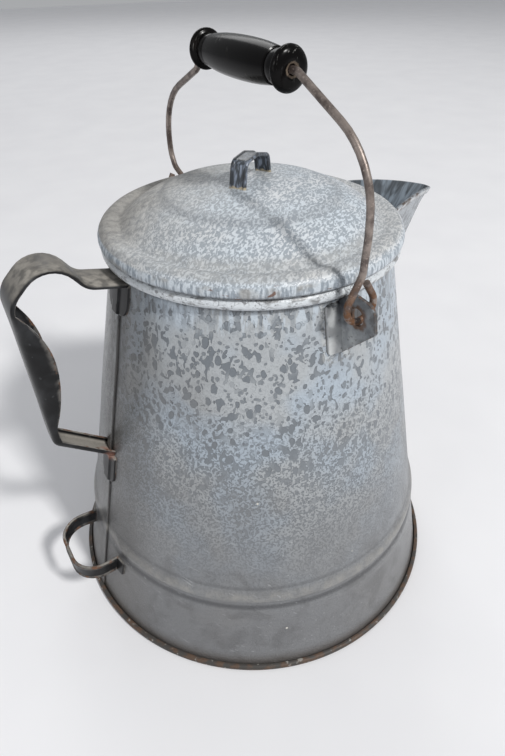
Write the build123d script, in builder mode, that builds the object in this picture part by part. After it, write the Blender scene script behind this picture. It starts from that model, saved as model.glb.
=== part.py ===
# Enamelled steel coffee boiler with a V spout, a lift-off lid, a wire bail and two strap handles.
# Millimetres. Origin at the centre of the base, on the surface the pot stands on. +Z is up,
# +X points to the spout, -X to the side handles, and the bail's ears stand on -Y and +Y.
import os
from math import atan2, cos, hypot, radians, sin, tan

from build123d import *

os.makedirs("parts", exist_ok=True)

# Body: a tapered shell of enamelled sheet, seamed on the handle side
base_radius = 147.1
taper = 0.2102
sheet = 1.5
seam_width = 7.0
seam_proud = 1.2
seam_end_gap = 0.2

# Swaged bead round the lower body, stopped short of the seam on both sides
bead_height = 67.6
bead_width = 17.0
bead_proud = 1.9
bead_gap_angle = 7.0

# Rolled rim with its wire
mouth_height = 272.4
rim_wire_radius = 1.8
rim_wire_play = 0.1
curl_sweep = 278.0

# How far the cutting shapes run past the rim and the base
cut_above = 40.0
cut_below = 1.0

# Bottom pan and the chime rolled over the foot of the body
chime_proud = 3.0
chime_height = 4.6
pan_recess = 8.0

# Spout
spout_overhang = 74.7
spout_rise = 7.1
spout_lip_drop = 6.5
spout_lip_length = 14.0
spout_lip_flare = 5.0
spout_keel_slope = 0.46
spout_half_angle = 23.2
spout_nose_radius = 5.0
spout_sheet = 1.3
spout_root = 18.0
spout_length = 112.0
spout_hem_height = 5.0
spout_hem_proud = 1.1

# Strainer holes through the body behind the spout
strainer_rows = 5
strainer_pitch = 9.0
strainer_row_step = 12.0
strainer_hole = 5.0
strainer_top_drop = 18.0
strainer_drill = 12.0

# Lid
lid_sheet = 1.5
lid_rest_gap = 0.3
lid_brim_overhang = 0.8
lid_brim_height = 10.4
lid_groove_inset = 13.3
lid_groove_height = 9.3
lid_step_inset = 42.0
lid_step_height = 23.5
lid_step_rise = 2.2
lid_step_run = 3.5
lid_height = 31.4
lid_edge_radius = 2.6
lid_shoulder_crown = 1.2
lid_dome_share = 0.74
collar_sheet = 1.3
collar_clearance = 0.8
collar_depth = 11.0
collar_seat = 4.0

# Lid knob: a bent strap with rolled edges, clinched through two slots
knob_angle = 33.0
knob_span = 37.0
knob_near_height = 13.5
knob_middle_height = 14.4
knob_far_height = 10.5
knob_top_span = 31.0
knob_bend = 6.0
knob_width = 11.0
knob_sheet = 1.3
knob_edge_radius = 1.25
tongue_width = 7.5
tongue_length = 6.0
tongue_drop = 0.8
slot_clearance = 0.15

# Bail: one wire through both ears, hooked into a loop at each end
bail_wire_diameter = 4.0
pivot_drop = 2.4
bail_stand_off = 16.2
bail_rise = 102.3
bail_lean = 3.0
front_bow = 1.8
front_bow_height = 38.0
front_bow_bend = 60.0
front_shoulder = 75.0
front_shoulder_bend = 42.0
back_bow = 4.0
back_bow_height = 27.0
back_bow_bend = 14.0
back_shoulder = 64.0
back_shoulder_bend = 48.0
back_drop = 12.0
back_drop_length = 7.0
back_drop_bend = 8.0
hook_radius = 9.0
hook_apex = 18.0
hook_bend = 8.0
hook_tail = 7.5
grip_end_bend = 6.0

# Turned grip on the bail
grip_length = 90.0
grip_shift = -2.0
grip_flange_radius = 11.7
grip_flange_width = 5.6
grip_neck_radius = 8.6
grip_neck_length = 8.0
grip_barrel_end_radius = 9.5
grip_barrel_radius = 11.0
grip_bore_play = 0.5
grip_end_play = 3.6

# Ears: doubled sheet, folded out from two flanges
ear_fin = 2.6
ear_reach = 27.0
ear_top_rise = 4.8
ear_hole_radius = 5.0
ear_hole_play = 0.4
ear_flange_half_width = 11.0
ear_flange_sheet = 1.3
ear_flange_corner = 3.0
ear_root = 9.0
ear_nose_out = 3.5
ear_nose_drop = 10.5
ear_top_out = 0.5
ear_top_fall = 0.5
ear_top_inset = 10.0
ear_fold_drop = 3.5
ear_corners = [1.0, 2.0, 7.0, 6.0, 0.5]
ear_height = 30.5
ear_drop = 36.4

# Main handle: a strap whose edges are rolled towards the pot
handle_stand_off = 65.1
handle_corner_out = 62.0
handle_width = 26.0
handle_low_width = 17.0
handle_narrow_drop = 41.2
handle_narrow_length = 53.0
handle_sheet = 1.3
handle_drop = 6.2
handle_knee_out = 21.9
handle_knee_rise = 5.8
handle_crown_out = 39.9
handle_crown_rise = 29.8
handle_shoulder_rise = 5.8
handle_corner_drop = 99.2
handle_foot_drop = 126.7
handle_knee_bend = 12.0
handle_crown_bend = 18.0
handle_shoulder_bend = 18.0
handle_corner_bend = 7.0
handle_edge_depth = 2.2
handle_arm_depth = 5.0
handle_grip_depth = 15.0
handle_grip_drop = 36.2
handle_grip_above = 36.0
handle_grip_below = 48.0
handle_corner_share = 0.8
handle_grip_corner = 9.0
handle_root = 4.0
handle_station_step = 8.0
handle_bend_steps = 6
handle_top_tab_width = 30.0
handle_top_tab_length = 22.0
handle_low_tab_width = 22.0
handle_low_tab_length = 24.0
handle_top_tab_corner = 11.0
handle_low_tab_corner = 7.0
handle_tab_sheet = 1.3

# Tipping handle: a low strap loop for tilting the full pot
loop_height = 48.0
loop_stand_off = 26.8
loop_half_width = 28.0
loop_foot_half_width = 26.0
loop_shift = 4.0
loop_bend = 18.0
loop_strap = 13.5
loop_sheet = 1.3
loop_edge_radius = 1.3
loop_foot_length = 10.0
loop_foot_corner = 3.0


def wall_radius(height):
    """Outside radius of the tapered body at a height."""
    return base_radius - taper * height


wall_across = sheet * hypot(1.0, taper)
chime_radius = base_radius + chime_proud
wire_space = rim_wire_radius + rim_wire_play
curl_radius = wire_space + wall_across
mouth_radius = wall_radius(mouth_height) - wall_across
curl_centre = mouth_radius + curl_radius
rim_top = mouth_height + curl_radius
shell_top = rim_top + cut_above
brim_radius = curl_centre + curl_radius + lid_brim_overhang


def body_block(extra=0.0):
    """The space inside the body's outer surface, grown by extra, as a solid."""
    return Pos(0, 0, -cut_below) * Cone(
        wall_radius(-cut_below) + extra,
        wall_radius(shell_top) + extra,
        shell_top + cut_below,
        align=(Align.CENTER, Align.CENTER, Align.MIN),
    )


def curl_block(extra=0.0):
    """The rolled rim as a solid ring, grown by extra."""
    return Pos(0, 0, mouth_height) * Torus(curl_centre, curl_radius + extra)


body_space = body_block()
curl_space = curl_block(rim_wire_play)


def wall_patch(thickness, outline, reach):
    """A plate of one thickness that lies on the body inside an outline extruded outwards."""
    return (body_block(thickness) - body_space) & extrude(outline, amount=reach)


def write(piece, name):
    piece.part.label = name
    export_step(piece.part, f"parts/{name}.step")


# Body shell
wall_foot = sheet
bead_low = bead_height - bead_width / 2
bead_high = bead_height + bead_width / 2
seam_low = chime_height + seam_end_gap
seam_high = mouth_height - curl_radius - seam_end_gap

with BuildPart() as seam_strip:
    with BuildSketch(Plane.XZ):
        with BuildLine():
            Polyline(
                (wall_radius(seam_low) - sheet / 2, seam_low),
                (wall_radius(seam_low) + seam_proud, seam_low),
                (wall_radius(seam_high) + seam_proud, seam_high),
                (wall_radius(seam_high) - sheet / 2, seam_high),
                close=True,
            )
        make_face()
    revolve(axis=Axis.Z)
    with Locations((-base_radius, 0, mouth_height / 2)):
        Box(base_radius, seam_width, mouth_height, mode=Mode.INTERSECT)

with BuildPart() as body_shell:
    with BuildSketch(Plane.XZ):
        with BuildLine():
            inner_curl = CenterArc((curl_centre, mouth_height), wire_space, 180.0, -curl_sweep)
            outer_curl = CenterArc((curl_centre, mouth_height), curl_radius, 180.0, -curl_sweep)
            Line(inner_curl @ 1, outer_curl @ 1)
            Polyline(
                outer_curl @ 0,
                (wall_radius(wall_foot) - wall_across, wall_foot),
                (wall_radius(wall_foot), wall_foot),
                inner_curl @ 0,
            )
        make_face()
    revolve(axis=Axis.Z)
    bead_start = Plane.XZ.rotated((0, 0, 180.0 + bead_gap_angle))
    for offset_in, mode in ((0.0, Mode.ADD), (wall_across, Mode.SUBTRACT)):
        with BuildSketch(bead_start):
            with BuildLine():
                ThreePointArc(
                    (wall_radius(bead_low) - offset_in, bead_low),
                    (wall_radius(bead_height) - offset_in + bead_proud, bead_height),
                    (wall_radius(bead_high) - offset_in, bead_high),
                )
                Polyline(
                    (wall_radius(bead_high) - offset_in, bead_high),
                    (wall_radius(bead_high) - offset_in - sheet / 2, bead_high),
                    (wall_radius(bead_low) - offset_in - sheet / 2, bead_low),
                    (wall_radius(bead_low) - offset_in, bead_low),
                )
            make_face()
        revolve(axis=Axis.Z, revolution_arc=360.0 - 2 * bead_gap_angle, mode=mode)
    add(seam_strip.part)
    for row in range(strainer_rows):
        row_height = mouth_height - strainer_top_drop - row * strainer_row_step
        row_count = strainer_rows - row
        for hole in range(row_count):
            across = (hole - (row_count - 1) / 2) * strainer_pitch
            with Locations(Location((wall_radius(row_height), across, row_height), (0, 90, 0))):
                Cylinder(strainer_hole / 2, strainer_drill, mode=Mode.SUBTRACT)
write(body_shell, "body_shell")

# Rim wire
with BuildPart() as rim_wire:
    with BuildSketch(Plane.XZ):
        with Locations((curl_centre, mouth_height)):
            Circle(rim_wire_radius)
    revolve(axis=Axis.Z)
write(rim_wire, "rim_wire")


# Bottom pan with the chime rolled over the foot of the wall
def wall_inside(height):
    """Inside radius of the tapered body at a height."""
    return wall_radius(height) - wall_across


pan_top = pan_recess + sheet
chime_round = chime_height / 2
with BuildPart() as bottom_pan:
    with BuildSketch(Plane.XZ):
        with BuildLine():
            Polyline(
                (0, pan_recess),
                (wall_inside(pan_recess) - sheet, pan_recess),
                (wall_inside(0) - sheet, 0),
                (chime_radius - chime_round, 0),
            )
            ThreePointArc(
                (chime_radius - chime_round, 0),
                (chime_radius, chime_round),
                (chime_radius - chime_round, chime_height),
            )
            Polyline(
                (chime_radius - chime_round, chime_height),
                (wall_radius(chime_height), chime_height),
                (wall_radius(wall_foot), wall_foot),
                (wall_inside(wall_foot), wall_foot),
                (wall_inside(pan_top), pan_top),
                (0, pan_top),
                (0, pan_recess),
            )
        make_face()
    revolve(axis=Axis.Z)
write(bottom_pan, "bottom_pan")

# Spout: a folded V of sheet standing on the wall, hemmed along its lip
spout_top = mouth_height + spout_rise
spout_reach = wall_radius(spout_top) + spout_overhang
lip_start = spout_top - spout_lip_length
spout_foot = spout_top - spout_length
half_angle = radians(spout_half_angle)
spout_back = wall_radius(spout_top) - spout_root
keel_at_lip = spout_reach - spout_lip_flare - spout_keel_slope * spout_lip_length


def vee(height, reach, grow):
    """One level section of the spout, a V with a rounded nose, grown by grow."""
    nose = spout_nose_radius + grow
    centre = reach - spout_nose_radius
    side_x = centre + nose * sin(half_angle)
    side_y = nose * cos(half_angle)
    back_y = side_y + (side_x - spout_back) * tan(half_angle)
    with BuildSketch(Plane.XY.offset(height)) as section:
        with BuildLine():
            Line((spout_back, -back_y), (side_x, -side_y))
            ThreePointArc((side_x, -side_y), (centre + nose, 0), (side_x, side_y))
            Line((side_x, side_y), (spout_back, back_y))
            Line((spout_back, back_y), (spout_back, -back_y))
        make_face()
    return section.sketch


def spout_form(grow):
    """The space inside the V, grown by grow, from the keel's foot to above the lip."""
    foot_reach = keel_at_lip - spout_keel_slope * (lip_start - spout_foot)
    lower = loft([vee(spout_foot, foot_reach, grow), vee(lip_start, keel_at_lip, grow)])
    upper = loft([vee(lip_start, keel_at_lip, grow), vee(spout_top, spout_reach, grow)])
    return lower + upper


spout_outside = spout_form(0.0)
spout_inside = spout_form(-spout_sheet)
spout_grown = spout_form(spout_hem_proud)
hem_foot = spout_top - spout_lip_drop - spout_hem_height
with BuildPart() as spout_hem:
    add(spout_grown)
    with Locations((0, 0, hem_foot)):
        Box(
            4 * spout_reach,
            2 * spout_reach,
            2 * spout_length,
            align=(Align.CENTER, Align.CENTER, Align.MAX),
            mode=Mode.SUBTRACT,
        )

with BuildPart() as spout:
    add(spout_outside)
    add(spout_hem.part)
    add(spout_inside, mode=Mode.SUBTRACT)
    with BuildSketch(Plane.XZ):
        with BuildLine():
            lip_line = ThreePointArc(
                (spout_back, rim_top),
                ((curl_centre + spout_reach) / 2, spout_top - lid_rest_gap),
                (spout_reach + spout_hem_proud, spout_top - spout_lip_drop),
            )
            Polyline(
                lip_line @ 1,
                (spout_reach + spout_length, spout_top - spout_lip_drop),
                (spout_reach + spout_length, shell_top),
                (spout_back, shell_top),
                lip_line @ 0,
            )
        make_face()
    extrude(amount=spout_reach, both=True, mode=Mode.SUBTRACT)
    with Locations((0, 0, rim_top)):
        Cylinder(
            brim_radius + lid_brim_overhang,
            spout_length,
            align=(Align.CENTER, Align.CENTER, Align.MIN),
            mode=Mode.SUBTRACT,
        )
    with Locations((0, 0, mouth_height)):
        Cylinder(
            curl_centre,
            spout_length,
            align=(Align.CENTER, Align.CENTER, Align.MIN),
            mode=Mode.SUBTRACT,
        )
    add(body_space, mode=Mode.SUBTRACT)
    add(curl_space, mode=Mode.SUBTRACT)
write(spout, "spout")

# Lid cover: domed, with a soft step, a rounded brim and an edge folded under to a flat flange
lid_seat = rim_top + lid_rest_gap
flange_top = lid_seat + lid_sheet
lid_edge_z = lid_seat + lid_edge_radius
lid_edge_centre = (brim_radius - lid_edge_radius, lid_edge_z)
collar_radius = mouth_radius - collar_clearance
lid_groove_radius = brim_radius - lid_groove_inset
lid_step_radius = brim_radius - lid_step_inset
groove_z = lid_seat + lid_groove_height
step_top_z = lid_seat + lid_step_height + lid_step_rise
step_low_radius = lid_step_radius + lid_step_run / 2
step_top_radius = lid_step_radius - lid_step_run / 2
step_low_z = lid_seat + lid_step_height
lid_top_z = lid_seat + lid_height


def lid_line(drop):
    """The lid's outline from its centre to its edge, lowered by drop."""
    brim_middle = (lid_groove_radius + brim_radius) / 2
    shoulder_middle = (step_low_radius + lid_groove_radius) / 2
    shoulder_z = (step_low_z + groove_z) / 2 + lid_shoulder_crown
    dome_z = step_top_z + (lid_top_z - step_top_z) * lid_dome_share
    ThreePointArc(
        (0, lid_top_z - drop),
        (step_top_radius / 2, dome_z - drop),
        (step_top_radius, step_top_z - drop),
    )
    Line((step_top_radius, step_top_z - drop), (step_low_radius, step_low_z - drop))
    ThreePointArc(
        (step_low_radius, step_low_z - drop),
        (shoulder_middle, shoulder_z - drop),
        (lid_groove_radius, groove_z - drop),
    )
    ThreePointArc(
        (lid_groove_radius, groove_z - drop),
        (brim_middle, lid_seat + lid_brim_height - drop),
        (brim_radius - drop, lid_edge_z),
    )


with BuildPart() as lid_blank:
    with BuildSketch(Plane.XZ):
        with BuildLine():
            lid_line(0.0)
            CenterArc(lid_edge_centre, lid_edge_radius, 0.0, -90.0)
            Polyline(
                (brim_radius - lid_edge_radius, lid_seat),
                (0, lid_seat),
                (0, lid_top_z),
            )
        make_face()
    revolve(axis=Axis.Z)

with BuildPart() as lid_hollow:
    with BuildSketch(Plane.XZ):
        with BuildLine():
            lid_line(lid_sheet)
            CenterArc(lid_edge_centre, lid_edge_radius - lid_sheet, 0.0, -90.0)
            Polyline(
                (brim_radius - lid_edge_radius, flange_top),
                (collar_radius, flange_top),
                (collar_radius, lid_seat - lid_sheet),
                (0, lid_seat - lid_sheet),
                (0, lid_top_z - lid_sheet),
            )
        make_face()
    revolve(axis=Axis.Z)

with BuildPart() as lid_cover:
    add(lid_blank.part)
    add(lid_hollow.part, mode=Mode.SUBTRACT)
    with Locations(Location((0, 0, lid_top_z), (0, 0, knob_angle))):
        with Locations((-knob_span / 2, 0), (knob_span / 2, 0)):
            Box(
                knob_sheet + 2 * slot_clearance,
                tongue_width + 2 * slot_clearance,
                8 * lid_sheet,
                mode=Mode.SUBTRACT,
            )
write(lid_cover, "lid_cover")

# Lid collar: an angle ring inside the mouth, held in the lid's fold
with BuildPart() as lid_collar:
    with BuildSketch(Plane.XZ):
        with BuildLine():
            Polyline(
                (collar_radius - collar_sheet, rim_top - collar_depth),
                (collar_radius, rim_top - collar_depth),
                (collar_radius, flange_top),
                (collar_radius + collar_seat, flange_top),
                (collar_radius + collar_seat, flange_top + collar_sheet),
                (collar_radius - collar_sheet, flange_top + collar_sheet),
                close=True,
            )
        make_face()
    revolve(axis=Axis.Z)
write(lid_collar, "lid_collar")

# Lid knob: an arched strap with rolled edges, its tongues clinched under the lid
knob_plane = Plane.XZ.rotated((0, 0, knob_angle))
knob_foot_z = lid_top_z - lid_sheet
clinch_z = knob_foot_z - tongue_drop - knob_sheet
with BuildPart() as lid_knob:
    with BuildLine(knob_plane) as knob_arch:
        FilletPolyline(
            (-knob_span / 2, knob_foot_z),
            (-knob_top_span / 2, lid_top_z + knob_near_height),
            (0, lid_top_z + knob_middle_height),
            (knob_top_span / 2, lid_top_z + knob_far_height),
            (knob_span / 2, knob_foot_z),
            radius=knob_bend,
        )
    with BuildSketch(Plane(origin=knob_arch.line @ 0, x_dir=knob_plane.z_dir, z_dir=knob_arch.line % 0)):
        Rectangle(knob_width - 2 * knob_edge_radius, knob_sheet)
        with Locations(
            (-knob_width / 2 + knob_edge_radius, 0),
            (knob_width / 2 - knob_edge_radius, 0),
        ):
            Circle(knob_edge_radius)
    sweep()
    add(lid_blank.part, mode=Mode.SUBTRACT)
    for side in (-1, 1):
        with BuildSketch(knob_plane):
            with Locations((side * knob_span / 2, clinch_z)):
                Rectangle(knob_sheet, lid_top_z - clinch_z, align=(Align.CENTER, Align.MIN))
            with Locations((side * (knob_span / 2 + knob_sheet / 2), clinch_z)):
                Rectangle(
                    tongue_length,
                    knob_sheet,
                    align=(Align.MAX if side > 0 else Align.MIN, Align.MIN),
                )
        extrude(amount=tongue_width / 2, both=True)
write(lid_knob, "lid_knob")

# Bail wire, built on the plane that it leans in, with its origin on the pivot
lean = radians(bail_lean)
pivot_height = mouth_height - pivot_drop
bail_plane = Plane(origin=(0, 0, pivot_height), x_dir=(0, 1, 0), z_dir=(cos(lean), 0, sin(lean)))
wire_radius = bail_wire_diameter / 2
bail_half_span = wall_radius(pivot_height) + bail_stand_off
apex_angle = atan2((hook_apex**2 - hook_radius**2) ** 0.5, hook_radius)
tangent_across = hook_radius * sin(apex_angle)
tangent_up = hook_radius * cos(apex_angle)
tail_across = tangent_across - hook_tail * cos(apex_angle)
tail_up = tangent_up + hook_tail * sin(apex_angle)
grip_front = grip_shift - grip_length / 2
grip_back = grip_shift + grip_length / 2
bail_bends = [
    hook_bend,
    front_bow_bend,
    front_shoulder_bend,
    grip_end_bend,
    grip_end_bend,
    back_drop_bend,
    back_shoulder_bend,
    back_bow_bend,
    hook_bend,
]
with BuildPart() as bail_wire:
    with BuildLine(bail_plane) as bail_path:
        Line(
            (-bail_half_span, tail_up, tail_across),
            (-bail_half_span, tangent_up, tangent_across),
        )
        ThreePointArc(
            (-bail_half_span, tangent_up, tangent_across),
            (-bail_half_span, -hook_radius, 0),
            (-bail_half_span, tangent_up, -tangent_across),
        )
        FilletPolyline(
            (-bail_half_span, tangent_up, -tangent_across),
            (-bail_half_span, hook_apex, 0),
            (-bail_half_span - front_bow, front_bow_height, 0),
            (-bail_half_span - front_bow, front_shoulder, 0),
            (grip_front - grip_end_play, bail_rise, 0),
            (grip_back + grip_end_play, bail_rise, 0),
            (grip_back + grip_end_play + back_drop_length, bail_rise - back_drop, 0),
            (bail_half_span + back_bow, back_shoulder, 0),
            (bail_half_span + back_bow, back_bow_height, 0),
            (bail_half_span, hook_apex, 0),
            (bail_half_span, tangent_up, tangent_across),
            radius=bail_bends,
        )
        ThreePointArc(
            (bail_half_span, tangent_up, tangent_across),
            (bail_half_span, -hook_radius, 0),
            (bail_half_span, tangent_up, -tangent_across),
        )
        Line(
            (bail_half_span, tangent_up, -tangent_across),
            (bail_half_span, tail_up, -tail_across),
        )
    bail_route = bail_path.wires()[0]
    with BuildSketch(Plane(origin=bail_route @ 0, z_dir=bail_route % 0)):
        Circle(wire_radius)
    sweep(path=bail_route)
write(bail_wire, "bail_wire")

# Turned grip
grip_plane = Plane(
    origin=bail_plane.from_local_coords((grip_shift, bail_rise, 0)),
    x_dir=bail_plane.y_dir,
    z_dir=bail_plane.z_dir,
)
half_grip = grip_length / 2
barrel_end = half_grip - grip_flange_width - grip_neck_length
with BuildPart() as bail_grip:
    with BuildSketch(bail_plane):
        with BuildLine():
            Polyline(
                (grip_front, bail_rise),
                (grip_front, bail_rise + grip_flange_radius - grip_flange_width / 2),
            )
            ThreePointArc(
                (grip_front, bail_rise + grip_flange_radius - grip_flange_width / 2),
                (grip_front + grip_flange_width / 2, bail_rise + grip_flange_radius),
                (grip_front + grip_flange_width, bail_rise + grip_flange_radius - grip_flange_width / 2),
            )
            Polyline(
                (grip_front + grip_flange_width, bail_rise + grip_flange_radius - grip_flange_width / 2),
                (grip_front + grip_flange_width, bail_rise + grip_neck_radius),
                (grip_shift - barrel_end, bail_rise + grip_neck_radius),
                (grip_shift - barrel_end, bail_rise + grip_barrel_end_radius),
            )
            ThreePointArc(
                (grip_shift - barrel_end, bail_rise + grip_barrel_end_radius),
                (grip_shift, bail_rise + grip_barrel_radius),
                (grip_shift + barrel_end, bail_rise + grip_barrel_end_radius),
            )
            Polyline(
                (grip_shift + barrel_end, bail_rise + grip_barrel_end_radius),
                (grip_shift + barrel_end, bail_rise + grip_neck_radius),
                (grip_back - grip_flange_width, bail_rise + grip_neck_radius),
                (grip_back - grip_flange_width, bail_rise + grip_flange_radius - grip_flange_width / 2),
            )
            ThreePointArc(
                (grip_back - grip_flange_width, bail_rise + grip_flange_radius - grip_flange_width / 2),
                (grip_back - grip_flange_width / 2, bail_rise + grip_flange_radius),
                (grip_back, bail_rise + grip_flange_radius - grip_flange_width / 2),
            )
            Polyline(
                (grip_back, bail_rise + grip_flange_radius - grip_flange_width / 2),
                (grip_back, bail_rise),
                (grip_front, bail_rise),
            )
        make_face()
    revolve(axis=Axis(grip_plane.origin, (0, 1, 0)))
    with BuildSketch(Plane(origin=grip_plane.origin, z_dir=(0, 1, 0))):
        Circle(wire_radius + grip_bore_play)
    extrude(amount=grip_length, both=True, mode=Mode.SUBTRACT)
write(bail_grip, "bail_grip")

# Ears
ear_hole_height = pivot_height - hook_radius - wire_radius - ear_hole_play + ear_hole_radius
ear_outer = wall_radius(pivot_height) + ear_reach
ear_body = wall_radius(pivot_height)
ear_bottom = mouth_height - ear_drop
ear_low_body = wall_radius(ear_bottom)
ear_top = pivot_height + ear_top_rise
with BuildSketch(Plane.XZ) as ear_outline:
    with Locations((0, ear_bottom)):
        Rectangle(2 * ear_flange_half_width, ear_height, align=(Align.CENTER, Align.MIN))
    fillet(ear_outline.vertices(), radius=ear_flange_corner)
for name, side in (("ear_front", -1), ("ear_back", 1)):
    ear_flanges = wall_patch(ear_flange_sheet, ear_outline.sketch, -side * base_radius)
    with BuildPart() as ear:
        with BuildSketch(Plane.YZ):
            with BuildLine():
                FilletPolyline(
                    (side * (ear_body - ear_root), ear_bottom),
                    (side * ear_low_body, ear_bottom),
                    (side * (ear_outer + ear_nose_out), pivot_height - ear_nose_drop),
                    (side * (ear_outer + ear_top_out), ear_top - ear_top_fall),
                    (side * (ear_body + ear_top_inset), ear_top + ear_top_fall),
                    (side * ear_body, pivot_height - ear_fold_drop),
                    (side * (ear_body - ear_root), pivot_height - ear_fold_drop),
                    radius=ear_corners,
                )
                Line(
                    (side * (ear_body - ear_root), pivot_height - ear_fold_drop),
                    (side * (ear_body - ear_root), ear_bottom),
                )
            make_face()
            with Locations((side * bail_half_span, ear_hole_height)):
                Circle(ear_hole_radius, mode=Mode.SUBTRACT)
        extrude(amount=ear_fin / 2, both=True)
        add(ear_flanges)
        add(body_space, mode=Mode.SUBTRACT)
    write(ear, name)

# Main handle: U sections lofted along its side outline, with two tabs lying on the wall
handle_top = mouth_height - handle_drop
handle_foot = handle_top - handle_foot_drop
handle_grip_middle = handle_top - handle_grip_drop
handle_wall = wall_radius(handle_top)
handle_reach = handle_wall + handle_stand_off
with BuildLine(Plane.XZ) as handle_path:
    FilletPolyline(
        (handle_root - handle_wall, handle_top),
        (-handle_wall - handle_knee_out, handle_top + handle_knee_rise),
        (-handle_wall - handle_crown_out, handle_top + handle_crown_rise),
        (-handle_reach, handle_top + handle_shoulder_rise),
        (-handle_wall - handle_corner_out, handle_top - handle_corner_drop),
        (handle_root - wall_radius(handle_foot), handle_foot - handle_root),
        radius=[handle_knee_bend, handle_crown_bend, handle_shoulder_bend, handle_corner_bend],
    )


def handle_depth(height):
    """How far the strap's edges are rolled in at a height of the grip."""
    above = height > handle_grip_middle
    away = abs(height - handle_grip_middle) / (handle_grip_above if above else handle_grip_below)
    ends = handle_edge_depth if above else handle_arm_depth
    return ends + (handle_grip_depth - ends) * max(0.0, 1.0 - away**2)


def handle_section(place, along):
    """The strap's U section across its path at a place."""
    depth = handle_depth(place.Z)
    corner = min(handle_corner_share * depth, handle_grip_corner)
    narrow = (handle_top - handle_narrow_drop - place.Z) / handle_narrow_length
    narrow = min(1.0, max(0.0, narrow))
    half = (handle_width - narrow * (handle_width - handle_low_width)) / 2
    inner = half - handle_sheet
    with BuildSketch(Plane(origin=place, x_dir=(0, 1, 0), z_dir=along)) as section:
        with BuildLine():
            Polyline(
                (-half, depth),
                (-half, 0),
                (half, 0),
                (half, depth),
                (inner, depth),
                (inner, handle_sheet),
                (-inner, handle_sheet),
                (-inner, depth),
                close=True,
            )
        make_face()
        fillet(section.vertices().group_by(Axis.Y)[0], radius=corner)
        fillet(section.vertices().group_by(Axis.Y)[1], radius=corner - handle_sheet)
    return section.sketch


handle_sections = []
for edge in handle_path.wires()[0].order_edges():
    steps = max(1, round(edge.length / handle_station_step))
    if edge.geom_type == GeomType.CIRCLE:
        steps = handle_bend_steps
    for step in range(steps):
        handle_sections.append(handle_section(edge @ (step / steps), edge % (step / steps)))
handle_sections.append(handle_section(edge @ 1, edge % 1))


def tab(width, top, length, corner):
    """A tab on the wall over the seam, rounded at its lower end."""
    with BuildSketch(Plane.YZ) as outline:
        with Locations((0, top)):
            Rectangle(width, length, align=(Align.CENTER, Align.MAX))
        fillet(outline.vertices().group_by(Axis.Z)[0], radius=corner)
    with BuildSketch(Plane.YZ) as ridge:
        with Locations((0, top)):
            Rectangle(
                seam_width + 2 * handle_tab_sheet,
                length - handle_tab_sheet,
                align=(Align.CENTER, Align.MAX),
            )
    return wall_patch(handle_tab_sheet, outline.sketch, -base_radius) + wall_patch(
        seam_proud + handle_tab_sheet, ridge.sketch, -base_radius
    )


handle_arm = loft(handle_sections, ruled=True)
handle_top_tab = tab(handle_top_tab_width, handle_top, handle_top_tab_length, handle_top_tab_corner)
handle_low_tab = tab(handle_low_tab_width, handle_foot, handle_low_tab_length, handle_low_tab_corner)
with BuildPart() as handle_strap:
    add(handle_arm)
    add(handle_top_tab)
    add(handle_low_tab)
    add(body_space, mode=Mode.SUBTRACT)
    add(curl_space, mode=Mode.SUBTRACT)
    add(seam_strip.part, mode=Mode.SUBTRACT)
write(handle_strap, "handle_strap")

# Tipping handle
loop_plane = Plane.XY.offset(loop_height)
loop_foot_radius = wall_radius(loop_height)
loop_reach = loop_foot_radius + loop_stand_off
loop_feet = []
for side in (-1, 1):
    foot_y = loop_shift + side * (loop_foot_half_width + loop_foot_length / 2 - loop_sheet / 2)
    with BuildSketch(Plane.YZ) as foot_outline:
        with Locations((foot_y, loop_height)):
            RectangleRounded(loop_foot_length, loop_strap, loop_foot_corner)
    loop_feet.append(wall_patch(loop_sheet, foot_outline.sketch, -base_radius))
with BuildPart() as tipping_handle:
    with BuildLine(loop_plane) as loop_path:
        FilletPolyline(
            (handle_root - loop_foot_radius, loop_shift - loop_foot_half_width),
            (-loop_reach, loop_shift - loop_half_width),
            (-loop_reach, loop_shift + loop_half_width),
            (handle_root - loop_foot_radius, loop_shift + loop_foot_half_width),
            radius=loop_bend,
        )
    loop_route = loop_path.wires()[0]
    with BuildSketch(Plane(origin=loop_route @ 0, x_dir=(0, 0, 1), z_dir=loop_route % 0)):
        Rectangle(loop_strap - 2 * loop_edge_radius, loop_sheet)
        with Locations(
            (-loop_strap / 2 + loop_edge_radius, 0),
            (loop_strap / 2 - loop_edge_radius, 0),
        ):
            Circle(loop_edge_radius)
    sweep(path=loop_route)
    add(loop_feet)
    add(body_space, mode=Mode.SUBTRACT)
write(tipping_handle, "tipping_handle")
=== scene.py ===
# An old enamelled coffee boiler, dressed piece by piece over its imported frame. Metres, with the
# pot's axis on Z, its spout towards +X and its side handles towards -X.
from math import atan2, cos, hypot, pi, radians, sin, tan

import bpy
from mathutils import Matrix, Vector


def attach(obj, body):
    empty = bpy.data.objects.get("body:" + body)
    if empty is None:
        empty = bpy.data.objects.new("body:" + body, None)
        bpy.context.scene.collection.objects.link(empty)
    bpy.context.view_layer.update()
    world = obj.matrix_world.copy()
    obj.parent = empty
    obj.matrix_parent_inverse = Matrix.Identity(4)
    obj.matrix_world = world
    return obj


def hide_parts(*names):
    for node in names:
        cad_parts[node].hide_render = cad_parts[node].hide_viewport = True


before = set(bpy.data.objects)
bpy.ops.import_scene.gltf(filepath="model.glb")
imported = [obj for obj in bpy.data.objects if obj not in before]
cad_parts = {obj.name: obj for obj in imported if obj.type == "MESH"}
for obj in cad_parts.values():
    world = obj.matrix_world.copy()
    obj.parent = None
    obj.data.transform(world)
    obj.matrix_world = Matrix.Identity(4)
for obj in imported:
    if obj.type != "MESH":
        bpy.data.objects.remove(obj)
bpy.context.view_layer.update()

# Camera, floor and soft studio light. The camera stands left of the front, close and high, so the
# lid's top, the strap handle and the spout all show.
mm = 0.001
camera_place = Vector((-182.9, -292.7, 418.05)) * mm
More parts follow.
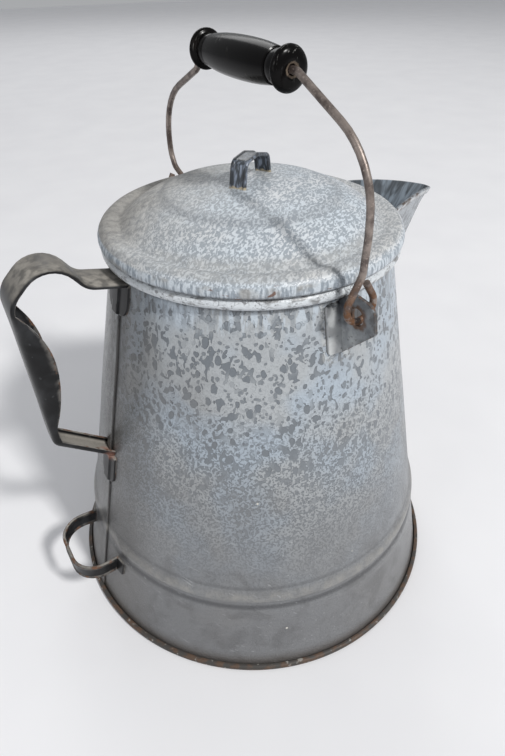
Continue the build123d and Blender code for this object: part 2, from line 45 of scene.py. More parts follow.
camera_heading = radians(32.041)
camera_pitch = radians(37.380)
camera_roll = radians(-0.331)
sensor_height = 36.0
picture_height = 756.0
focal_pixels = 561.07
sight = Vector((
    sin(camera_heading) * cos(camera_pitch),
    cos(camera_heading) * cos(camera_pitch),
    -sin(camera_pitch),
))
level = Vector((cos(camera_heading), -sin(camera_heading), 0.0))
upward = level.cross(sight)
camera_right = level * cos(camera_roll) + upward * sin(camera_roll)
camera_up = upward * cos(camera_roll) - level * sin(camera_roll)
bpy.ops.object.camera_add()
camera = bpy.context.object
camera.name = "camera"
camera.matrix_world = (
    Matrix.Translation(camera_place)
    @ Matrix((camera_right, camera_up, -sight)).transposed().to_4x4()
)
camera.data.sensor_fit = "VERTICAL"
camera.data.sensor_height = sensor_height
camera.data.lens = sensor_height * focal_pixels / picture_height
camera.data.clip_start = 0.01
camera.data.dof.use_dof = False
bpy.context.scene.camera = camera


def tint(code):
    """A hex sRGB colour as linear red, green, blue and alpha."""
    parts = [int(code[place:place + 2], 16) / 255.0 for place in (1, 3, 5)]
    return [part / 12.92 if part <= 0.04045 else ((part + 0.055) / 1.055) ** 2.4 for part in parts] + [1.0]


# each kind of node: its type, its sockets in order, the outlet it gives, and its options
node_kinds = {
    "place": ("TexCoord", (), "Object", {}),
    "axes": ("SeparateXYZ", ("Vector",), None, {}),
    "joined": ("CombineXYZ", ("X", "Y"), "Vector", {}),
    "colour parts": ("SeparateColor", ("Color",), None, {}),
    "attribute": ("Attribute", (), "Fac", {}),
    "stretch": ("Mapping", ("Vector", "Scale", "Rotation"), "Vector", {"vector_type": "TEXTURE"}),
    "noise": ("TexNoise", ("Vector", "Scale", "Detail", "Distortion"), "Fac", {}),
    "noise colour": ("TexNoise", ("Vector", "Scale", "Detail"), "Color", {}),
    "cells": ("TexVoronoi", ("Vector", "Scale"), None, {}),
    "step": (
        "MapRange", ("Value", "From Min", "From Max", "To Min", "To Max"), "Result",
        {"interpolation_type": "SMOOTHSTEP"},
    ),
    "lay": ("Mix", (0, 6, 7), 2, {"data_type": "RGBA"}),
    "bump": ("Bump", ("Height", "Strength", "Distance"), "Normal", {}),
    "multiply": ("Math", (0, 1), "Value", {"operation": "MULTIPLY"}),
    "maximum": ("Math", (0, 1), "Value", {"operation": "MAXIMUM"}),
    "add": ("Math", (0, 1), "Value", {"operation": "ADD"}),
    "subtract": ("Math", (0, 1), "Value", {"operation": "SUBTRACT"}),
    "absolute": ("Math", (0,), "Value", {"operation": "ABSOLUTE"}),
    "vector subtract": ("VectorMath", (0, 1), "Vector", {"operation": "SUBTRACT"}),
    "vector multiply": ("VectorMath", (0, 1), "Vector", {"operation": "MULTIPLY"}),
    "vector multiply add": ("VectorMath", (0, 1, 2), "Vector", {"operation": "MULTIPLY_ADD"}),
    "direction": ("VectorMath", (0,), "Vector", {"operation": "NORMALIZE"}),
    "length": ("VectorMath", (0,), "Value", {"operation": "LENGTH"}),
    "distance": ("VectorMath", (0, 1), "Value", {"operation": "DISTANCE"}),
    "dot product": ("VectorMath", (0, 1), "Value", {"operation": "DOT_PRODUCT"}),
}


def wire_in(tree, kind, *values, **settings):
    """Adds a node and gives its outlet, or all of them where its kind names none. Each value is a
    hex colour, a number or another node's outlet. A step is 0 at its low and 1 at its high value,
    and a lay puts its last colour over the one before it, by an amount."""
    type_name, sockets, outlet, options = node_kinds[kind]
    node = tree.nodes.new("ShaderNode" + type_name)
    for option, value in {**options, **settings}.items():
        setattr(node, option, value)
    for socket, value in zip(sockets, values):
        if isinstance(value, bpy.types.NodeSocket):
            tree.links.new(value, node.inputs[socket])
        else:
            node.inputs[socket].default_value = tint(value) if isinstance(value, str) else value
    return node.outputs if outlet is None else node.outputs[outlet]


def paint(name, roughness, coat=0.0, metal=0.0):
    """A new material, with its tree, its shader and its Object coordinates."""
    material = bpy.data.materials.new(name)
    material.use_nodes = True
    shader = material.node_tree.nodes["Principled BSDF"]
    shader.inputs["Roughness"].default_value = roughness
    shader.inputs["Coat Weight"].default_value = coat
    shader.inputs["Coat Roughness"].default_value = 0.25
    shader.inputs["Metallic"].default_value = metal
    place = wire_in(material.node_tree, "place")
    return material, material.node_tree, shader, place


floor_paper, tree, shader, place = paint("pale_studio_paper", 0.85)
tree.links.new(
    wire_in(tree, "lay", wire_in(tree, "noise", place, 9.0), "#e4e4e7", "#eeeef0"),
    shader.inputs["Base Color"],
)
bpy.ops.mesh.primitive_plane_add(size=12.0, location=(0, 0, 0))
floor = bpy.context.object
floor.name = "studio_floor"
floor.data.materials.append(floor_paper)

for lamp_name, lamp_place, aim, size, power, colour in (
    ("key_light", (0.75, -2.90, 3.30), (0.0, 0.0, 0.18), 0.45, 142.0, (1.0, 0.99, 0.97)),
    ("left_light", (-1.25, -0.25, 0.75), (0.0, 0.0, 0.15), 0.9, 2.0, (0.97, 0.98, 1.0)),
    ("back_light", (1.3, 3.2, 2.9), (0.0, 0.0, 0.2), 2.0, 30.0, (1.0, 1.0, 1.0)),
):
    bpy.ops.object.light_add(type="AREA", location=lamp_place)
    lamp = bpy.context.object
    lamp.name = lamp_name
    lamp.data.size = size
    lamp.data.energy = power
    lamp.data.color = colour
    lamp.rotation_euler = (Vector(aim) - Vector(lamp_place)).to_track_quat("-Z", "Y").to_euler()

room = bpy.data.worlds.new("studio_room")
room.use_nodes = True
room.node_tree.nodes["Background"].inputs["Color"].default_value = tint("#e9ebee")
room.node_tree.nodes["Background"].inputs["Strength"].default_value = 0.48
bpy.context.scene.world = room
bpy.context.scene.view_settings.view_transform = "Standard"

# Body wall: sheet steel rolled to a taper, dipped in grey enamel and fired. One swaged bead runs
# round it and stops short of the seam, its rim is rolled over a wire, and holes strain the spout.
wall_base = 147.1
wall_taper = 0.2102
wall_sheet = 1.53
wall_foot = 1.5
wall_top = 269.0
plain_above = 262.0
plain_below = 4.0
ring_gap = 6.0
rim_height = 272.4
rim_centre = 91.745
rim_round = 3.43
bead_middle = 67.6
bead_half = 6.2
bead_swell = 1.8
groove_middle = 58.6
groove_half = 3.0
groove_sink = 0.5
lower_ridge = 54.6
lower_half = 3.4
lower_swell = 0.6
bead_rings = (48.0, 80.0)
bead_ring_gap = 1.4
bead_gap = radians(7.0)
bead_run_out = radians(5.0)
inner_top = 268.0
inner_foot = 14.0
inner_ring_gap = 8.0
broad_dent = 0.14
small_dent = 0.08
dent_room = 0.2
strainer_top = 254.4
strainer_pitch = 9.0
strainer_step = 12.0
strainer_hole = 2.5
strainer_rows = 5
hole_cut = 12.0


def wall_at(height):
    """Outside radius of the body in mm at a height in mm."""
    return wall_base - wall_taper * height


def select_only(piece):
    """Makes a piece the only one selected, and the active one."""
    bpy.ops.object.select_all(action="DESELECT")
    piece.select_set(True)
    bpy.context.view_layer.objects.active = piece


def clean(piece, angle=40.0):
    """Merges doubled points, turns the normals outwards and shades smooth below an angle."""
    select_only(piece)
    bpy.ops.object.mode_set(mode="EDIT")
    bpy.ops.mesh.select_all(action="SELECT")
    bpy.ops.mesh.remove_doubles(threshold=0.00004)
    bpy.ops.mesh.normals_make_consistent(inside=False)
    bpy.ops.object.mode_set(mode="OBJECT")
    bpy.ops.object.shade_smooth_by_angle(angle=radians(angle))


def rings(name, line, around=240):
    """A turned mesh: a circle extruded through a line of radii and heights in mm."""
    bpy.ops.object.select_all(action="DESELECT")
    bpy.ops.mesh.primitive_circle_add(
        vertices=around, radius=line[0][0] * mm, location=(0, 0, line[0][1] * mm)
    )
    piece = bpy.context.object
    piece.name = name
    bpy.ops.object.transform_apply(location=True, rotation=True, scale=True)
    bpy.ops.object.mode_set(mode="EDIT")
    bpy.ops.mesh.select_all(action="SELECT")
    here, low = line[0]
    for radius, height in line[1:]:
        bpy.ops.mesh.extrude_region_move(TRANSFORM_OT_translate={"value": (0, 0, (height - low) * mm)})
        bpy.ops.transform.resize(
            value=(radius / here, radius / here, 1.0), center_override=(0, 0, height * mm)
        )
        here, low = radius, height
    bpy.ops.object.mode_set(mode="OBJECT")
    return piece


def bore(piece, radius, depth, spots, turn):
    """Cuts round holes, radius and depth in mm, through a piece at spots in mm, turned from Z."""
    cutters = []
    for spot in spots:
        bpy.ops.mesh.primitive_cylinder_add(
            vertices=32, radius=radius * mm, depth=depth * mm, location=Vector(spot) * mm, rotation=turn
        )
        cutters.append(bpy.context.object)
    for cutter in cutters:
        cutter.select_set(True)
    if len(cutters) > 1:
        bpy.ops.object.join()
    cutter = bpy.context.object
    select_only(piece)
    bpy.ops.object.modifier_add(type="BOOLEAN")
    piece.modifiers[-1].operation = "DIFFERENCE"
    piece.modifiers[-1].object = cutter
    bpy.ops.object.modifier_apply(modifier=piece.modifiers[-1].name)
    select_only(cutter)
    bpy.ops.object.delete()
    select_only(piece)


wall_line = [(wall_at(wall_foot), wall_foot)]
height = wall_foot
while height < plain_above:
    height += bead_ring_gap if bead_rings[0] < height < bead_rings[1] else ring_gap
    wall_line.append((wall_at(height), height))
wall_line.append((wall_at(wall_top), wall_top))
for turn in range(-100, 181, 14):
    angle = radians(turn)
    wall_line.append((rim_centre + rim_round * cos(angle), rim_height + rim_round * sin(angle)))
height = inner_top
while height > inner_foot:
    wall_line.append((wall_at(height) - wall_sheet, height))
    height -= inner_ring_gap
wall_line.append((wall_at(wall_foot) - wall_sheet, wall_foot))
wall_line.append((wall_at(wall_foot), wall_foot))
wall = rings("body_wall", wall_line)
for vertex in wall.data.vertices:
    x, y, z = vertex.co / mm
    reach = hypot(x, y)
    if z > plain_above or z < plain_below:
        continue
    fade = min(1.0, max(0.0, (abs(atan2(y, -x)) - bead_gap) / bead_run_out))
    swell = bead_swell * max(0.0, 1.0 - ((z - bead_middle) / bead_half) ** 2) ** 1.5
    swell -= groove_sink * max(0.0, 1.0 - ((z - groove_middle) / groove_half) ** 2)
    swell += lower_swell * max(0.0, 1.0 - ((z - lower_ridge) / lower_half) ** 2)
    swell *= fade * fade * (3.0 - 2.0 * fade)
    around = atan2(y, x)
    dents = broad_dent * sin(3.0 * around + 0.05 * z) * sin(0.021 * z + 1.0)
    dents += small_dent * sin(7.0 * around - 0.03 * z)
    swell += dents - dent_room
    vertex.co.x *= (reach + swell) / reach
    vertex.co.y *= (reach + swell) / reach
clean(wall, 60.0)
strainer_spots = []
for row in range(strainer_rows):
    row_height = strainer_top - row * strainer_step
    for hole in range(strainer_rows - row):
        beside = (hole - (strainer_rows - 1 - row) / 2) * strainer_pitch
        strainer_spots.append((wall_at(row_height), beside, row_height))
bore(wall, strainer_hole, hole_cut, strainer_spots, (0, pi / 2, 0))


# mottled grey enamel, or graniteware: two coats of coloured glass fused on steel. Light grey-blue
# with darker worms and islands, more open towards the rim, plain and dull towards the foot, where the coats
# are painted darker as shade.
def worms(tree, place):
    """Short dark worms, about 2 mm from one to the next."""
    return wire_in(tree, "step", wire_in(tree, "noise", place, 720.0, 1.0, 0.5), 0.535, 0.58)


def islands(tree, place, scale, largest):
    """Islands of many sizes, their middles 5 mm apart at a scale of 200 to the metre. The largest
    one's radius is a share of that."""
    shift = wire_in(tree, "noise colour", place, 80.0, 2.0)
    centred = wire_in(tree, "vector subtract", shift, (0.5, 0.5, 0.5))
    bent = wire_in(tree, "vector multiply add", centred, (0.006, 0.006, 0.006), place)
    cells = wire_in(tree, "cells", bent, scale)
    kind = wire_in(tree, "colour parts", cells["Color"])["Red"]
    size = wire_in(tree, "step", kind, 0.2, 1.0, -0.05, largest)
    return wire_in(tree, "step", wire_in(tree, "subtract", size, cells["Distance"]), -0.02, 0.03)


enamel, tree, shader, place = paint("mottled_grey_enamel", 0.40, 0.22)
axes = wire_in(tree, "axes", place)
rise = axes["Z"]
tall = wire_in(tree, "stretch", place, (1.0, 1.0, 1.4))
patchy = wire_in(tree, "step", wire_in(tree, "noise", place, 34.0, 2.0), 0.38, 0.54, 0.3, 1.0)
drop_spots = wire_in(tree, "step", wire_in(tree, "noise", tall, 275.0, 0.8, 0.5), 0.588, 0.604)
drop_mask = wire_in(
    tree, "multiply", wire_in(tree, "multiply", drop_spots, patchy), wire_in(tree, "step", rise, 0.11, 0.195)
)
island_mask = wire_in(
    tree, "multiply", islands(tree, tall, 200.0, 0.44), wire_in(tree, "step", rise, 0.09, 0.19)
)
dot_mask = wire_in(
    tree, "multiply", islands(tree, place, 340.0, 0.46),
    wire_in(tree, "step", rise, 0.06, 0.15, 0.12, 0.85),
)
worm_mask = wire_in(
    tree, "multiply", worms(tree, place), wire_in(tree, "step", rise, 0.05, 0.15, 0.18, 0.8)
)
worm_mask = wire_in(tree, "multiply", worm_mask, wire_in(tree, "step", rise, 0.165, 0.225, 1.0, 0.15))
mottle = wire_in(tree, "maximum", wire_in(tree, "maximum", island_mask, drop_mask), worm_mask)
mottle = wire_in(tree, "maximum", mottle, dot_mask)
# painted shade: both coats darken from 220 mm down to 30 mm up the wall
pale = wire_in(tree, "step", rise, 0.03, 0.22)
cool = wire_in(tree, "step", wire_in(tree, "noise", place, 20.0, 2.0), 0.42, 0.6)
light_coat = wire_in(tree, "lay", cool, "#a6aaad", "#a3aeb9")
light_coat = wire_in(tree, "lay", pale, "#707173", light_coat)
dark_coat = wire_in(tree, "lay", pale, "#5e6063", "#6c7278")
coat = wire_in(tree, "lay", mottle, light_coat, dark_coat)
# pale drips that ran down from the rim, 3 mm apart and about 15 mm long
drips = wire_in(tree, "noise", wire_in(tree, "stretch", place, (1.0, 1.0, 7.0)), 330.0, 2.0)
drip_band = wire_in(tree, "step", rise, 0.249, 0.264)
coat = wire_in(
    tree, "lay", wire_in(tree, "multiply", wire_in(tree, "step", drips, 0.5, 0.6, 0.0, 0.8), drip_band),
    coat, "#bcc6cf",
)
coat = wire_in(
    tree, "lay", wire_in(tree, "multiply", wire_in(tree, "step", drips, 0.46, 0.38, 0.0, 0.8), drip_band),
    coat, "#858b91",
)
# warm grime in soft patches about 50 mm wide, scuffs low on the wall, and dirt beside the seam
grime = wire_in(tree, "noise", place, 18.0, 4.0)
coat = wire_in(tree, "lay", wire_in(tree, "step", grime, 0.45, 0.72, 0.0, 0.35), coat, "#777573")
scuffed = wire_in(
    tree, "multiply", wire_in(tree, "step", wire_in(tree, "noise", place, 55.0, 6.0, 0.6), 0.45, 0.68),
    wire_in(tree, "step", rise, 0.15, 0.05),
)
coat = wire_in(tree, "lay", wire_in(tree, "multiply", scuffed, 0.45), coat, "#4e4e4f")
heading = wire_in(tree, "joined", axes["X"], axes["Y"])
heading = wire_in(tree, "direction", heading)
facing = wire_in(tree, "axes", heading)
coat = wire_in(tree, "lay", wire_in(tree, "step", facing["X"], -0.86, -0.995, 0.0, 0.55), coat, "#55524e")
off_seam = wire_in(tree, "absolute", axes["Y"])
seam_dirt = wire_in(
    tree, "multiply", wire_in(tree, "step", off_seam, 0.0065, 0.0045),
    wire_in(tree, "step", axes["X"], 0.0, -0.05),
)
seam_crest = wire_in(tree, "attribute", attribute_name="mark")
coat = wire_in(
    tree, "lay",
    wire_in(tree, "multiply", seam_dirt, wire_in(tree, "step", seam_crest, 0.9, 0.3, 0.0, 0.9)), coat,
    "#2b2a29",
)
smear = wire_in(
    tree, "multiply", wire_in(tree, "step", off_seam, 0.021, 0.006),
    wire_in(tree, "step", wire_in(tree, "noise", tall, 110.0, 4.0), 0.35, 0.6, 0.2, 0.7),
)
coat = wire_in(
    tree, "lay", wire_in(tree, "multiply", smear, wire_in(tree, "step", axes["X"], 0.0, -0.05)), coat,
    "#454443",
)
# painted shadow on the wall behind the front ear's eye, so that the eye shows dark
eye_shadow_distance = wire_in(tree, "distance", place, (0.014, -0.093, 0.2525))
coat = wire_in(tree, "lay", wire_in(tree, "step", eye_shadow_distance, 0.01, 0.005, 0.0, 0.85), coat, "#2f2a27")
# the bead's crest is rubbed and dusty, and painted paler as a highlight; the groove under it holds dirt and
# is painted dark as shade
crest = wire_in(
    tree, "multiply", wire_in(tree, "step", rise, 0.0625, 0.067),
    wire_in(tree, "step", rise, 0.0745, 0.069),
)
crest_wear_and_highlight = wire_in(
    tree, "multiply", crest,
    wire_in(tree, "step", wire_in(tree, "noise", place, 140.0, 4.0), 0.35, 0.7, 0.2, 0.75),
)
coat = wire_in(tree, "lay", crest_wear_and_highlight, coat, "#8f8d89")
groove_dirt_and_shade = wire_in(
    tree, "multiply", wire_in(tree, "step", rise, 0.0555, 0.058),
    wire_in(tree, "step", rise, 0.0615, 0.059),
)
coat = wire_in(tree, "lay", wire_in(tree, "multiply", groove_dirt_and_shade, 0.75), coat, "#404144")
# a darker band just above the bead
over_bead = wire_in(
    tree, "multiply", wire_in(tree, "step", rise, 0.0732, 0.0746),
    wire_in(tree, "step", rise, 0.078, 0.0752),
)
coat = wire_in(tree, "lay", wire_in(tree, "multiply", over_bead, 0.4), coat, "#4d4e50")
# fine pale scratches about 25 mm long on the lower half
scratch_place = wire_in(
    tree, "stretch", place, (1.0, 14.0, 1.0), (radians(25.0), radians(40.0), radians(55.0))
)
scratch = wire_in(tree, "step", wire_in(tree, "noise", scratch_place, 900.0, 0.0), 0.775, 0.8, 0.0, 0.22)
coat = wire_in(
    tree, "lay", wire_in(tree, "multiply", scratch, wire_in(tree, "step", rise, 0.17, 0.12)), coat,
    "#c9cbcc",
)
# chips down to the pale base coat, 1 mm across and far apart
chip_cells = wire_in(tree, "cells", place, 70.0)
chip_kind = wire_in(tree, "colour parts", chip_cells["Color"])["Green"]
chips = wire_in(
    tree, "multiply", wire_in(tree, "step", chip_cells["Distance"], 0.075, 0.04),
    wire_in(tree, "step", chip_kind, 0.955, 0.965),
)
coat = wire_in(tree, "lay", chips, coat, "#cfccc2")
# enamel that boiled up pale beside the front ear
crust_across = wire_in(
    tree, "multiply", wire_in(tree, "step", axes["X"], -0.015, -0.0125),
    wire_in(tree, "step", axes["X"], 0.01, 0.004),
)
crust_up = wire_in(
    tree, "multiply", wire_in(tree, "step", rise, 0.228, 0.236),
    wire_in(tree, "step", axes["Y"], -0.07, -0.085),
)
crust_noise = wire_in(tree, "step", wire_in(tree, "noise", place, 260.0, 4.0, 0.5), 0.44, 0.54)
crust = wire_in(tree, "multiply", wire_in(tree, "multiply", crust_across, crust_up), crust_noise)
coat = wire_in(tree, "lay", wire_in(tree, "multiply", crust, 0.5), coat, "#bcbdbb")
# painted shade in the corner under the rolled rim, and dark dirt along the foot
coat = wire_in(tree, "lay", wire_in(tree, "step", rise, 0.2655, 0.269, 0.0, 0.8), coat, "#46474a")
coat = wire_in(tree, "lay", wire_in(tree, "step", rise, 0.016, 0.005, 0.0, 0.7), coat, "#4c4641")
# the rolled rim is worn pale, with dark patches about 9 mm long
rim_place = wire_in(tree, "stretch", place, (1.0, 1.0, 0.5))
rim_coat = wire_in(
    tree, "lay", wire_in(tree, "step", wire_in(tree, "noise", rim_place, 110.0, 3.0), 0.52, 0.66),
    "#cdd2d6", "#858687",
)
rim_coat = wire_in(
    tree, "lay", wire_in(tree, "step", wire_in(tree, "noise", rim_place, 330.0, 2.0), 0.6, 0.68),
    rim_coat, "#8b8d90",
)
coat = wire_in(tree, "lay", wire_in(tree, "step", rise, 0.2693, 0.2698), coat, rim_coat)
tree.links.new(coat, shader.inputs["Base Color"])
tree.links.new(wire_in(tree, "step", grime, 0.4, 0.75, 0.3, 0.5), shader.inputs["Roughness"])
relief = wire_in(
    tree, "subtract", wire_in(tree, "multiply", wire_in(tree, "noise", place, 900.0, 2.0), 0.35), mottle
)
tree.links.new(
    wire_in(tree, "bump", wire_in(tree, "add", crust, relief), 0.9, 0.0008), shader.inputs["Normal"]
)
wall.data.materials.append(enamel)
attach(wall, "pot")
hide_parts("body_shell")

# Side seam: the lapped and grooved joint of the sheet, a flat strip that runs up the handle side
# from the chime to the rim, under the handle's tabs.
seam_half = 3.5
seam_proud = 1.15
seam_foot = 4.8
seam_top = 268.7
seam_steps = 53


def skin(name, rows, flat_ends=False):
    """A mesh over closed rows of (place in mm, mark) pairs. The mark and the share that faces up
    are kept as attributes for the material."""
    around = len(rows[0])
    last = (len(rows) - 1) * around
    faces = []
    for low in range(0, last, around):
        for point in range(around):
            beside = (point + 1) % around
            faces.append((low + point, low + beside, low + around + beside, low + around + point))
    for start in (0, last):
        if flat_ends:
            faces.append([start + point for point in range(around)])
            continue
        for point in range(around // 2 - 1):
            across = around - 1 - point
            faces.append((start + point, start + point + 1, start + across - 1, start + across))
    form = bpy.data.meshes.new(name)
    form.from_pydata([spot * mm for row in rows for spot, mark in row], [], faces)
    marks = form.attributes.new("mark", "FLOAT", "POINT")
    for slot, mark in zip(marks.data, [mark for row in rows for spot, mark in row]):
        slot.value = mark
    piece = bpy.data.objects.new(name, form)
    bpy.context.collection.objects.link(piece)
    clean(piece)
    upper = form.attributes.new("upper", "FLOAT", "POINT")
    for vertex in form.vertices:
        upper.data[vertex.index].value = max(0.0, vertex.normal.z)
    return piece


seam_rows = []
for step in range(seam_steps + 1):
    height = seam_foot + step * (seam_top - seam_foot) / seam_steps
    outline = (
        (-seam_half, -0.6, 0.0), (-seam_half, 0.5, 0.0), (-seam_half + 0.6, seam_proud, 1.0),
        (seam_half - 0.6, seam_proud - 0.15, 1.0), (seam_half, 0.4, 0.0), (seam_half, -0.6, 0.0),
    )
    wave = 0.25 * sin(0.05 * height) + 0.12 * sin(0.17 * height + 1.0)
    seam_rows.append([
        (Vector((-wall_at(height) - out, across + wave, height)), mark) for across, out, mark in outline
    ])
seam = skin("side_seam", seam_rows)
seam.data.materials.append(enamel)
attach(seam, "pot")

# Bottom pan: a recessed disc of sheet steel whose edge is rolled over the foot of the wall into a
# round chime, on which the pot stands.
pan_line = [
    (147.0, 4.55), (148.2, 4.6), (149.3, 4.1), (149.95, 3.1), (150.05, 2.2), (149.7, 1.0), (148.7, 0.2),
    (147.4, 0.0), (144.4, 0.0), (143.9, 1.2), (142.6, 7.6), (141.6, 8.0), (100.0, 8.0), (40.0, 8.0),
    (0.05, 8.0), (0.05, 9.5), (40.0, 9.5), (100.0, 9.5), (143.4, 9.5), (145.2, 1.55), (146.6, 1.55),
    (147.0, 4.55),
]
pan = rings("chime_and_bottom", pan_line)
clean(pan)

# chipped chime enamel: a thin dark coat that sheds at the corner. Brown-black with rust where the
# bare steel shows.
chime_coat, tree, shader, place = paint("chipped_chime_enamel", 0.6)
rust_mask = wire_in(
    tree, "step", wire_in(tree, "noise", wire_in(tree, "stretch", place, (1.0, 1.0, 0.5)), 120.0, 5.0),
    0.44, 0.58,
)
rust_tone = wire_in(tree, "lay", wire_in(tree, "noise", place, 700.0, 3.0), "#3d3027", "#665040")
coat = wire_in(tree, "lay", rust_mask, "#3e3b38", rust_tone)
coat = wire_in(
    tree, "lay", wire_in(tree, "step", wire_in(tree, "noise", place, 260.0, 2.0), 0.62, 0.7), coat,
    "#8b8883",
)
tree.links.new(coat, shader.inputs["Base Color"])
tree.links.new(wire_in(tree, "bump", rust_mask, 0.5, 0.0002), shader.inputs["Normal"])
pan.data.materials.append(chime_coat)
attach(pan, "pot")
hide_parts("bottom_pan")

# Spout: one sheet folded to a V and fused on the wall, with its lip rolled outwards into a hem.
spout_slope = 0.46
spout_lip = 265.5
spout_lip_keel = 151.61
spout_tip = 163.05
spout_nose = 5.0
spout_side = radians(23.2)
spout_foot = 174.8
spout_sheet = 1.3
lip_line = {70.35: 275.8, 127.4: 279.2, 162.9: 273.2}
rim_join = 269.2
rim_join_top = 275.6
rim_join_back = 96.9
fold_share = 0.2


def keel_at(height):
    """How far the spout's front edge reaches at a height, in mm."""
    if height < spout_lip:
        return spout_lip_keel - spout_slope * (spout_lip - height)
    return spout_lip_keel + (spout_tip - spout_lip_keel) * (height - spout_lip) / 14.0


def lip_at(reach):
    """The height of the lip at a reach from the axis, in mm: a curve through three points."""
    total = 0.0
    for here, height in lip_line.items():
        for there in lip_line:
            if there != here:
                height *= (reach - there) / (here - there)
        total += height
    return total


def spout_point(height, share, grow):
    """A point of the V at a height, share from -1 at one wall over 0 on the nose to 1."""
    nose = spout_nose + grow
    centre = keel_at(height) - spout_nose
    if height > rim_join_top:
        back = rim_join_back
    elif height > rim_join:
        back = rim_centre + max(0.0, rim_round**2 - (height - rim_height) ** 2) ** 0.5 - 0.5
    else:
        back = wall_at(height) - 0.9
    side = abs(share)
    if side < fold_share:
        angle = side / fold_share * (pi / 2 - spout_side)
        x, y = centre + nose * cos(angle), nose * sin(angle)
    else:
        start_x, start_y = centre + nose * sin(spout_side), nose * cos(spout_side)
        middle = start_x * cos(spout_side) - start_y * sin(spout_side)
        rest = middle**2 - (start_x**2 + start_y**2 - back**2)
        run = max(0.0, middle - max(0.0, rest) ** 0.5) * (side - fold_share) / (1.0 - fold_share)
        x, y = start_x - run * cos(spout_side), start_y + run * sin(spout_side)
    return Vector((x, y if share > 0 else -y, height))


drops = [104.0 - 5.0 * step for step in range(20)] + [6.0, 5.2, 4.8, 4.3, 3.4, 2.2, 1.2, 0.6, 0.2, 0.0]
hem = {4.8: 0.8, 4.3: 1.1, 3.4: 1.1, 2.2: 1.1, 1.2: 1.1, 0.6: 0.95, 0.2: 0.6, 0.0: 0.2}
hem_groove = (5.2, 4.8)
hem_crest = (3.4, 2.2, 1.2)
shares = [-1.0 + step * 0.1 for step in range(9)]
shares += [-0.15, -0.1, -0.05, 0.0, 0.05, 0.1, 0.15] + [-share for share in reversed(shares)]
spout_rows = []
# how far out the lip reaches depends on its height, so each point is settled in five steps
for drop in drops:
    outer, inner = [], []
    for share in shares:
        outer_mark = 0.5 if drop in hem_groove else 0.3 if drop in hem_crest else 0.0
        for line, grow, mark in (
            (outer, hem.get(drop, 0.0), outer_mark),
            (inner, -0.4 if drop == 0.0 else -spout_sheet, 1.0),
        ):
            spot = spout_point(spout_lip, share, grow)
            for attempt in range(5):
                top = lip_at(spot.x)
                fall = drop * (top - spout_foot) / drops[0] if drop > 6.0 else drop
                spot = spout_point(top - fall, share, grow)
            line.append((spot, mark))
    spout_rows.append(outer + inner[::-1])
spout = skin("spout_with_hem", spout_rows)

# spout enamel: the body's grey glass, fired over a fold. Mottled outside, streaked grey-blue on
# charcoal inside and painted darker towards the throat as shade, with painted shade in the groove
# under the hem, and a hem painted pale as a highlight on its crest and rubbed to dark steel.
spout_coat, tree, shader, place = paint("spout_enamel", 0.34, 0.25)
rise = wire_in(tree, "axes", place)["Z"]
marks = wire_in(tree, "attribute", attribute_name="mark")
inside = wire_in(tree, "step", marks, 0.6, 0.8)
groove = wire_in(
    tree, "multiply", wire_in(tree, "step", marks, 0.1, 0.4), wire_in(tree, "step", marks, 0.8, 0.6)
)
tall = wire_in(tree, "stretch", place, (1.0, 1.0, 1.4))
drop_spots = wire_in(tree, "step", wire_in(tree, "noise", tall, 275.0, 0.8, 0.5), 0.57, 0.6)
drop_spots = wire_in(tree, "maximum", drop_spots, islands(tree, tall, 190.0, 0.48))
outside_coat = wire_in(tree, "lay", drop_spots, "#9ba1a7", "#6f7479")
outside_coat = wire_in(
    tree, "lay", wire_in(tree, "multiply", worms(tree, place), 0.6), outside_coat, "#70757a"
)
streak_place = wire_in(tree, "stretch", place, (1.0, 1.0, 5.0), (0.0, radians(28.0), 0.0))
streaks = wire_in(tree, "step", wire_in(tree, "noise", streak_place, 190.0, 4.0, 1.2), 0.38, 0.72)
inside_coat = wire_in(tree, "lay", streaks, "#454b51", "#87929d")
# painted shade: the inside darkens towards the throat, from 266 mm down to 240 mm
inside_coat = wire_in(tree, "lay", wire_in(tree, "step", rise, 0.266, 0.24), inside_coat, "#26282b")
coat = wire_in(tree, "lay", inside, outside_coat, inside_coat)
# painted highlight along the crest of the rolled hem
hem_highlight = wire_in(
    tree, "multiply", wire_in(tree, "step", marks, 0.15, 0.3), wire_in(tree, "step", marks, 0.45, 0.3)
)
# painted shade in the groove under the hem
coat = wire_in(tree, "lay", wire_in(tree, "multiply", groove, 0.85), coat, "#333436")
coat = wire_in(tree, "lay", hem_highlight, coat, "#b4b8ba")
worn = wire_in(tree, "step", wire_in(tree, "noise", place, 150.0, 4.0), 0.45, 0.6)
hem_dark = wire_in(
    tree, "multiply", wire_in(tree, "multiply", worn, wire_in(tree, "step", rise, 0.2715, 0.276)),
    wire_in(tree, "step", inside, 0.9, 0.1),
)
coat = wire_in(tree, "lay", hem_dark, coat, "#4c4038")
tree.links.new(coat, shader.inputs["Base Color"])
tree.links.new(wire_in(tree, "bump", streaks, 0.15, 0.0002), shader.inputs["Normal"])
spout.data.materials.append(spout_coat)
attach(spout, "pot")
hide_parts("spout")

